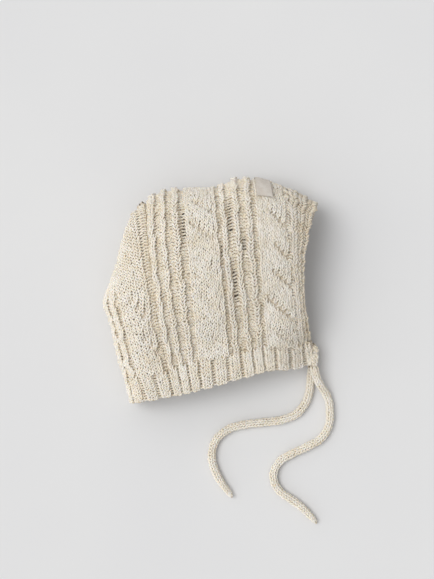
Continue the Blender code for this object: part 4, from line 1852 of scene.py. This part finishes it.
        def ribbed(which: Array) -> Array:
            """True for the columns of a rib."""
            return (in_repeat(which) > ribs.starts) & (in_repeat(which) < ribs.ends)

        def lay(which: Array, at: Array) -> tuple[Array, Array]:
            """Ribs of two wide columns, with two narrow purl columns sunk between them.

            Args:
                which: Column numbers.
                at: Rows.

            Returns:
                Places round the neck in stitches, and lifts in metres.
            """
            outwards = np.where(in_repeat(which) < ribs.repeat / 2, -spread, spread)
            outwards = outwards * np.sign(which + 0.5)
            lift = np.where(ribbed(which), self.strip_chart.rib_lift, self.strip_chart.groove_lift)
            lift = lift * ribs.relief
            lift = np.where(at < 0, ribs.edge_relief * lift + ribs.edge_lift, lift)
            lift = lift + ribs.unevenness * waver(NECK_WAVES, at, which)
            return (which + 0.5) + np.where(ribbed(which), outwards, -outwards), lift

        edge = row < 0
        kind = np.where(ribbed(column) | edge, 1.0, -1.0)
        width = np.where(ribbed(column), ribs.width, 2 - ribs.width)
        fabric = Fabric("neck_band_yarn", self.neck, NECK_YARN)
        place = np.where(edge, np.where(ribbed(column), ribs.edge_row, 0.0), row + 0.5)
        stitches = fabric.frames(column, place, lay, kind, row, width)
        stitches.along[edge] *= ribs.edge_length
        return fabric.knit(stitches, self.bench, self.wool)

    def strip_web(self) -> bpy.types.Mesh:
        """The web of the strip, open at its ladders.

        Returns:
            The mesh.
        """
        strip = self.strip
        rows = strip.rows[::2]
        lift = self.strip_chart.web_lift(strip.columns)[:, None] + 0 * rows
        places = strip.places[:, ::2] + strip.normals[:, ::2] * lift[..., None]
        across, up = (strip.columns[1:] + strip.columns[:-1]) / 2, (rows[1:] + rows[:-1]) / 2
        gaps = np.zeros((len(across), len(up)), bool)
        for ladder in LADDERS:
            inside = (across > ladder.start + self.ladder_rim) & (across < ladder.end - self.ladder_rim)
            gaps |= inside[:, None] & (up > ladder.first_row) & (up < ladder.last_row)
        return grid_mesh("hood_web", places, strip.columns, rows, gaps)

    def panel_web(self) -> bpy.types.Mesh:
        """The web of the back panel, sunk beside its seam with the strip.

        Returns:
            The mesh.
        """
        panel, chart = self.panel, self.panel_chart
        full = self.shape.panel_stitches
        count = self.shape.panel_count(self.panel_shares)
        stitch = full - (1 - np.abs(panel.columns[:, None])) * count[None]
        fade = self.plain_share(panel.rows)[None]
        seam = [self.seam_web_from, self.seam_web_at]
        plain = np.interp(stitch, seam, [chart.plain_lift, chart.groove_lift]) - WEB_SINK
        lift = chart.web_lift(stitch) * (1 - fade) + plain * fade
        places = panel.places + panel.normals * lift[..., None]
        kept = int((count > self.web_ends_at).sum())
        return grid_mesh("back_web", places[:, :kept], panel.columns * full, panel.rows[:kept])

    def neck_web(self) -> bpy.types.Mesh:
        """The web of the neck band.

        Returns:
            The mesh.
        """
        neck = self.neck
        wave = -np.cos(2 * math.pi * np.abs(neck.columns) / self.ribs.repeat)[:, None] + 0 * neck.rows
        places = neck.places + neck.normals * (self.ribs.web_wave * wave - WEB_SINK)[..., None]
        return grid_mesh("neck_web", places, neck.columns, neck.rows)

    def build_webs(self) -> list[Object]:
        """Thin closed fabric behind the yarn of the strip, the panel and the neck band, in wool coloured
        darker as painted shade.
        """
        meshes = (self.strip_web(), self.panel_web(), self.neck_web())
        return [close_web(mesh.name, mesh, self.web_thickness, self.behind) for mesh in meshes]

    def build_label(self) -> Object:
        """The bare woven label that lies over the crown fold.

        Returns:
            The finished piece.
        """
        label, shape = self.label, self.shape
        stitch_width = shape.length / shape.side_stitches
        half = label.width / 2 / stitch_width
        columns = np.linspace(label.middle - half, label.middle + half, label.columns)
        turn = np.linspace(0, math.pi / 2, label.near_rows)
        near = 1 - label.near_reach / shape.height * (1 - np.cos(turn))
        far = 1 + np.linspace(0, label.far_reach / shape.height, label.far_rows + 1)
        ways = np.concatenate([near[::-1], far[1:]])
        places = shape.strip_place(columns[:, None] + 0 * ways, ways + 0 * columns[:, None])
        own = Grid(columns, np.arange(len(ways), dtype=float), places)
        step = np.arange(len(ways)) / len(ways)
        across = (columns[:, None] - label.middle) / half
        wave = label.ripple * np.sin(across * label.ripple_across + step * label.ripple_along)
        wave = wave + label.curl * across**2 * np.cos(step * label.curl_along)
        drop = label.lift_drop * smooth_step(label.drop_from, label.drop_at, step)
        lift = label.lift - drop + wave
        lifted = own.places + own.normals * lift[..., None]
        steps = np.linalg.norm(np.diff(lifted[label.columns // 2], axis=0), axis=-1)
        run = np.concatenate([[0], np.cumsum(steps)])
        chart = (columns - label.middle) * stitch_width
        mesh = grid_mesh("label_tape", lifted, chart, run)
        return close_web("label_tape", mesh, self.tape_thickness, self.tape)


@dataclass
class Tie:
    """A knitted cord: one yarn wound round and round in four columns of stitches.

    It narrows over tip_length to tip_share of its width, and over last_length once more.
    """

    name: str
    node: str
    route: Array
    yarn: Yarn = TIE_YARN
    diameter: float = 0.0068
    tip_share: float = 0.62
    tip_length: float = 0.02
    last_length: float = 0.003
    last_share: float = 0.75
    columns: int = 4
    pitch: float = 0.0025
    sway: float = 0.35
    sway_rate: float = 9.0
    slack: float = 0.00010
    thickness_spread: float = 0.05
    palest: float = 1.0
    deepest: float = 0.55
    places: int = 600
    path_step: int = 6

    def line(self) -> Array:
        """Evenly spaced places on a smooth curve through the route's points.

        Returns:
            The places.
        """
        apart = np.concatenate([[0], np.cumsum(np.linalg.norm(np.diff(self.route, axis=0), axis=1))])
        fine = np.linspace(0, apart[-1], self.places)
        line = np.stack([smooth_through(apart, self.route[:, axis], fine) for axis in range(3)], -1)
        run = np.concatenate([[0], np.cumsum(np.linalg.norm(np.diff(line, axis=0), axis=1))])
        even = np.linspace(0, run[-1], self.places)
        return np.stack([np.interp(even, run, line[:, axis]) for axis in range(3)], -1)

    def build(self, bench: TreeBench, material: Material) -> Object:
        """Knits the cord along its route.

        Args:
            bench: The stitch tree.
            material: The wool.

        Returns:
            The finished piece.
        """
        line = self.line()
        length = float(np.linalg.norm(np.diff(line, axis=0), axis=1).sum())
        total = int(length / self.pitch * self.columns)
        step = np.arange(total)
        share = (step + 0.5) / total
        at = share * (len(line) - 1)
        index = np.clip(at.astype(int), 0, len(line) - 2)
        part = (at - index)[:, None]
        centre = line[index] * (1 - part) + line[index + 1] * part
        forward = unit(line[index + 1] - line[index])
        side = unit(np.cross(forward, np.array([0.0, 0.0, 1.0])))
        top = np.cross(side, forward)
        turn = 2 * math.pi * step / self.columns + self.sway * np.sin(share * self.sway_rate)
        out = side * np.cos(turn)[:, None] + top * np.sin(turn)[:, None]
        round_way = np.cross(forward, out)
        before_tip = np.clip((1 - share) * length / self.tip_length, 0, 1)
        slim = self.tip_share + (1 - self.tip_share) * before_tip
        last = share * length > length - self.last_length
        slim = np.where(last, slim * self.last_share, slim)
        ring = (self.diameter / 2 - self.yarn.radius - self.yarn.depth) * slim
        width = 2 * math.pi * ring / self.columns
        rng = np.random.default_rng(SEEDS[self.name])
        stitches = Stitches(
            centre=centre + out * ring[:, None] + rng.normal(0, self.slack, centre.shape),
            across=round_way * width[:, None],
            along=forward * self.pitch,
            outward=out,
            away=out,
            course=np.zeros(total, int),
            thickness=slim * (1 + rng.normal(0.0, self.thickness_spread, total)),
            tone=rng.uniform(self.deepest, self.palest, total),
        )
        piece = Fabric(self.name, None, self.yarn).knit(stitches, bench, material)
        mount(piece, "wool_tie", self.node)
        return piece


@dataclass
class Corner:
    """The bunched stitches of a front corner, from which a tie starts.

    The inset is how far the yarn's middle lies inside the corner's block, along X, Y and Z.
    """

    name: str
    node: str
    rows: int = 7
    around: int = 12
    yarn: Yarn = CORNER_YARN
    inset: tuple[float, float, float] = (0.0012, 0.0010, 0.0011)
    end_bulge: float = 0.55
    pitch: float = 0.0025
    stretch: float = 1.15
    purl_every: int = 3
    bunch_turn: float = 0.8
    turn_spread: float = 0.35
    slack: float = 0.0003
    thickness_spread: float = 0.07
    palest: float = 0.9
    deepest: float = 0.35

    def build(self, bench: TreeBench, material: Material) -> Object:
        """Winds short courses of loops round the corner's block.

        Args:
            bench: The stitch tree.
            material: The wool.

        Returns:
            The finished piece.
        """
        low, high = (np.array(corner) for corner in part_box(self.node))
        middle, half = (low + high) / 2, (high - low) / 2
        inside = half - self.inset
        count = self.rows * self.around
        step = np.arange(count)
        turn = 2 * math.pi * (step % self.around) / self.around
        level = (step / self.around + 0.5) / (self.rows + 0.5) * 2 - 1
        bulge = np.sqrt(np.clip(1 - self.end_bulge * level**4, 0, 1))
        ring = [np.cos(turn) * inside[0] * bulge, 0 * turn, np.sin(turn) * inside[2] * bulge]
        ring = np.stack(ring, -1)
        forward = np.array([0.0, 1.0, 0.0])
        centre = middle + ring + forward * (level * inside[1])[:, None]
        out = unit(ring)
        rng = np.random.default_rng(SEEDS[self.name])
        round_way = unit(np.cross(out, forward))
        width = 2 * math.pi * (half[0] + half[2]) / 2 / self.around
        twist = rng.normal(self.bunch_turn, self.turn_spread, (count, 1))
        across, along = -round_way * width * self.stretch, forward * self.pitch + 0 * centre
        stitches = Stitches(
            centre=centre + rng.normal(0, self.slack, centre.shape),
            across=across * np.cos(twist) + along * np.sin(twist),
            along=along * np.cos(twist) - across * np.sin(twist),
            outward=out * np.where(step % self.purl_every == 0, -1.0, 1.0)[:, None],
            away=out,
            course=np.zeros(count, int),
            thickness=1 + rng.normal(0.0, self.thickness_spread, count),
            tone=rng.uniform(self.deepest, self.palest, count),
        )
        piece = Fabric(self.name, None, self.yarn).knit(stitches, bench, material)
        mount(piece, "wool_band", self.node)
        return piece


@dataclass
class Studio:
    """A pale floor, soft light from the upper left and the camera straight above.

    The room's light is fill, stronger towards bright_side. The window's light comes from
    window_way, and its angle is how wide it looks in degrees.
    """

    middle_x: float = 0.0051
    middle_y: float = -0.0004
    camera_height: float = 1.20
    floor_per_pixel: float = 0.00080
    frame_height: int = 579
    floor_size: float = 12.0
    sensor: float = 36.0
    fill: float = 0.65
    bright_side: tuple[float, float, float] = (-0.52, 0.0, 0.0)
    window_power: float = 1.36
    window_angle: float = 36.0
    window_way: tuple[float, float, float] = (-0.45, 0.12, 0.92)

    def build(self) -> None:
        """Makes floor, lights and camera."""
        self.lay_floor()
        self.light_room()
        self.hang_window()
        self.set_camera()
        bpy.context.scene.view_settings.view_transform = "Standard"

    def lay_floor(self) -> None:
        """The pale floor, which isn't part of the bonnet."""
        mesh = bpy.data.meshes.new("floor")
        plate = bmesh.new()
        bmesh.ops.create_grid(plate, x_segments=1, y_segments=1, size=self.floor_size)
        plate.to_mesh(mesh)
        plate.free()
        floor = link_new("floor", mesh)
        floor.data.materials.append(Paper().build())

    def light_room(self) -> None:
        """Soft light from all round, stronger from the left."""
        world = bpy.data.worlds.new("studio")
        world.use_nodes = True
        bench = NodeBench(world.node_tree)
        background = bench.tree.nodes["Background"]
        background.inputs["Color"].default_value = (*WHITE, 1.0)
        way = bench.node("ShaderNodeTexCoord").outputs["Generated"]
        side = bench.vector_math("DOT_PRODUCT", way, self.bright_side).outputs["Value"]
        bench.feed(background.inputs["Strength"], bench.math("MULTIPLY_ADD", side, self.fill, self.fill))
        bpy.context.scene.world = world

    def hang_window(self) -> None:
        """A wide soft light from the upper left."""
        window = bpy.data.lights.new("window", "SUN")
        window.energy = self.window_power
        window.angle = math.radians(self.window_angle)
        lamp = link_new("window", window)
        lamp.location = self.window_way
        lamp.rotation_euler = (-Vector(self.window_way)).to_track_quat("-Z", "Y").to_euler()

    def set_camera(self) -> None:
        """A camera straight above, at the height that gives the frame its scale."""
        lens = bpy.data.cameras.new("camera")
        lens.sensor_width = self.sensor
        lens.lens = self.sensor * self.camera_height / (self.frame_height * self.floor_per_pixel)
        camera = link_new("camera", lens)
        camera.location = (self.middle_x, self.middle_y, self.camera_height)
        bpy.context.scene.camera = camera


def main() -> None:
    """Builds the scene in order."""
    logging.basicConfig(level=logging.INFO, format="%(name)s: %(message)s")
    Studio().build()
    wool = Wool().build()
    shape = LyingShape()
    bench = stitch_tree()
    LOG.info("shift of the packed model: %s mm", np.round(shape.shift * 1000, 3))
    Tie("tie_near_yarn", "tie_near", np.array(NEAR_TIE_ROUTE) + shape.shift).build(bench, wool)
    Tie("tie_far_yarn", "tie_far", np.array(FAR_TIE_ROUTE) + shape.shift).build(bench, wool)
    Corner("corner_near_yarn", "tie_join_near").build(bench, wool)
    Corner("corner_far_yarn", "tie_join_far").build(bench, wool)
    strip_chart = Chart(STRIP_BLOCKS, (MIDDLE_CABLE, FACE_CABLE))
    panel_chart = Chart(PANEL_BLOCKS, (PANEL_CABLE,), rib_thickness=1.0)
    bonnet = Bonnet(
        shape=shape,
        strip_chart=strip_chart,
        panel_chart=panel_chart,
        bench=bench,
        wool=wool,
        edge_wool=SHADED_EDGE_WOOL.build(),
        behind=WebWool().build(),
        tape=Tape().build(),
    )
    bonnet.make_grids()
    fuzz = Fuzz(fuzz_tree(), FuzzWool().build())
    finished = [(piece, "wool_fabric", "hood_strip") for piece in bonnet.build_strip()]
    finished.append((bonnet.build_face_band(), "wool_band", "face_band"))
    finished.append((bonnet.build_panel(), "wool_fabric", "back_panel"))
    finished.append((bonnet.build_neck_band(), "wool_fabric", "neck_band"))
    for order, (piece, slot, node) in enumerate(finished):
        if fuzz and not piece.name.endswith("_far"):
            name = piece.name.replace("_yarn", "") + "_fuzz"
            fuzz.grow(piece, name, fuzz.first_seed + order, slot)
        mount(piece, slot, node)
    for piece in bonnet.build_webs():
        mount(piece, "wool_fabric")
    mount(bonnet.build_label(), "label_tape", "label")


if __name__ == "__main__":
    main()
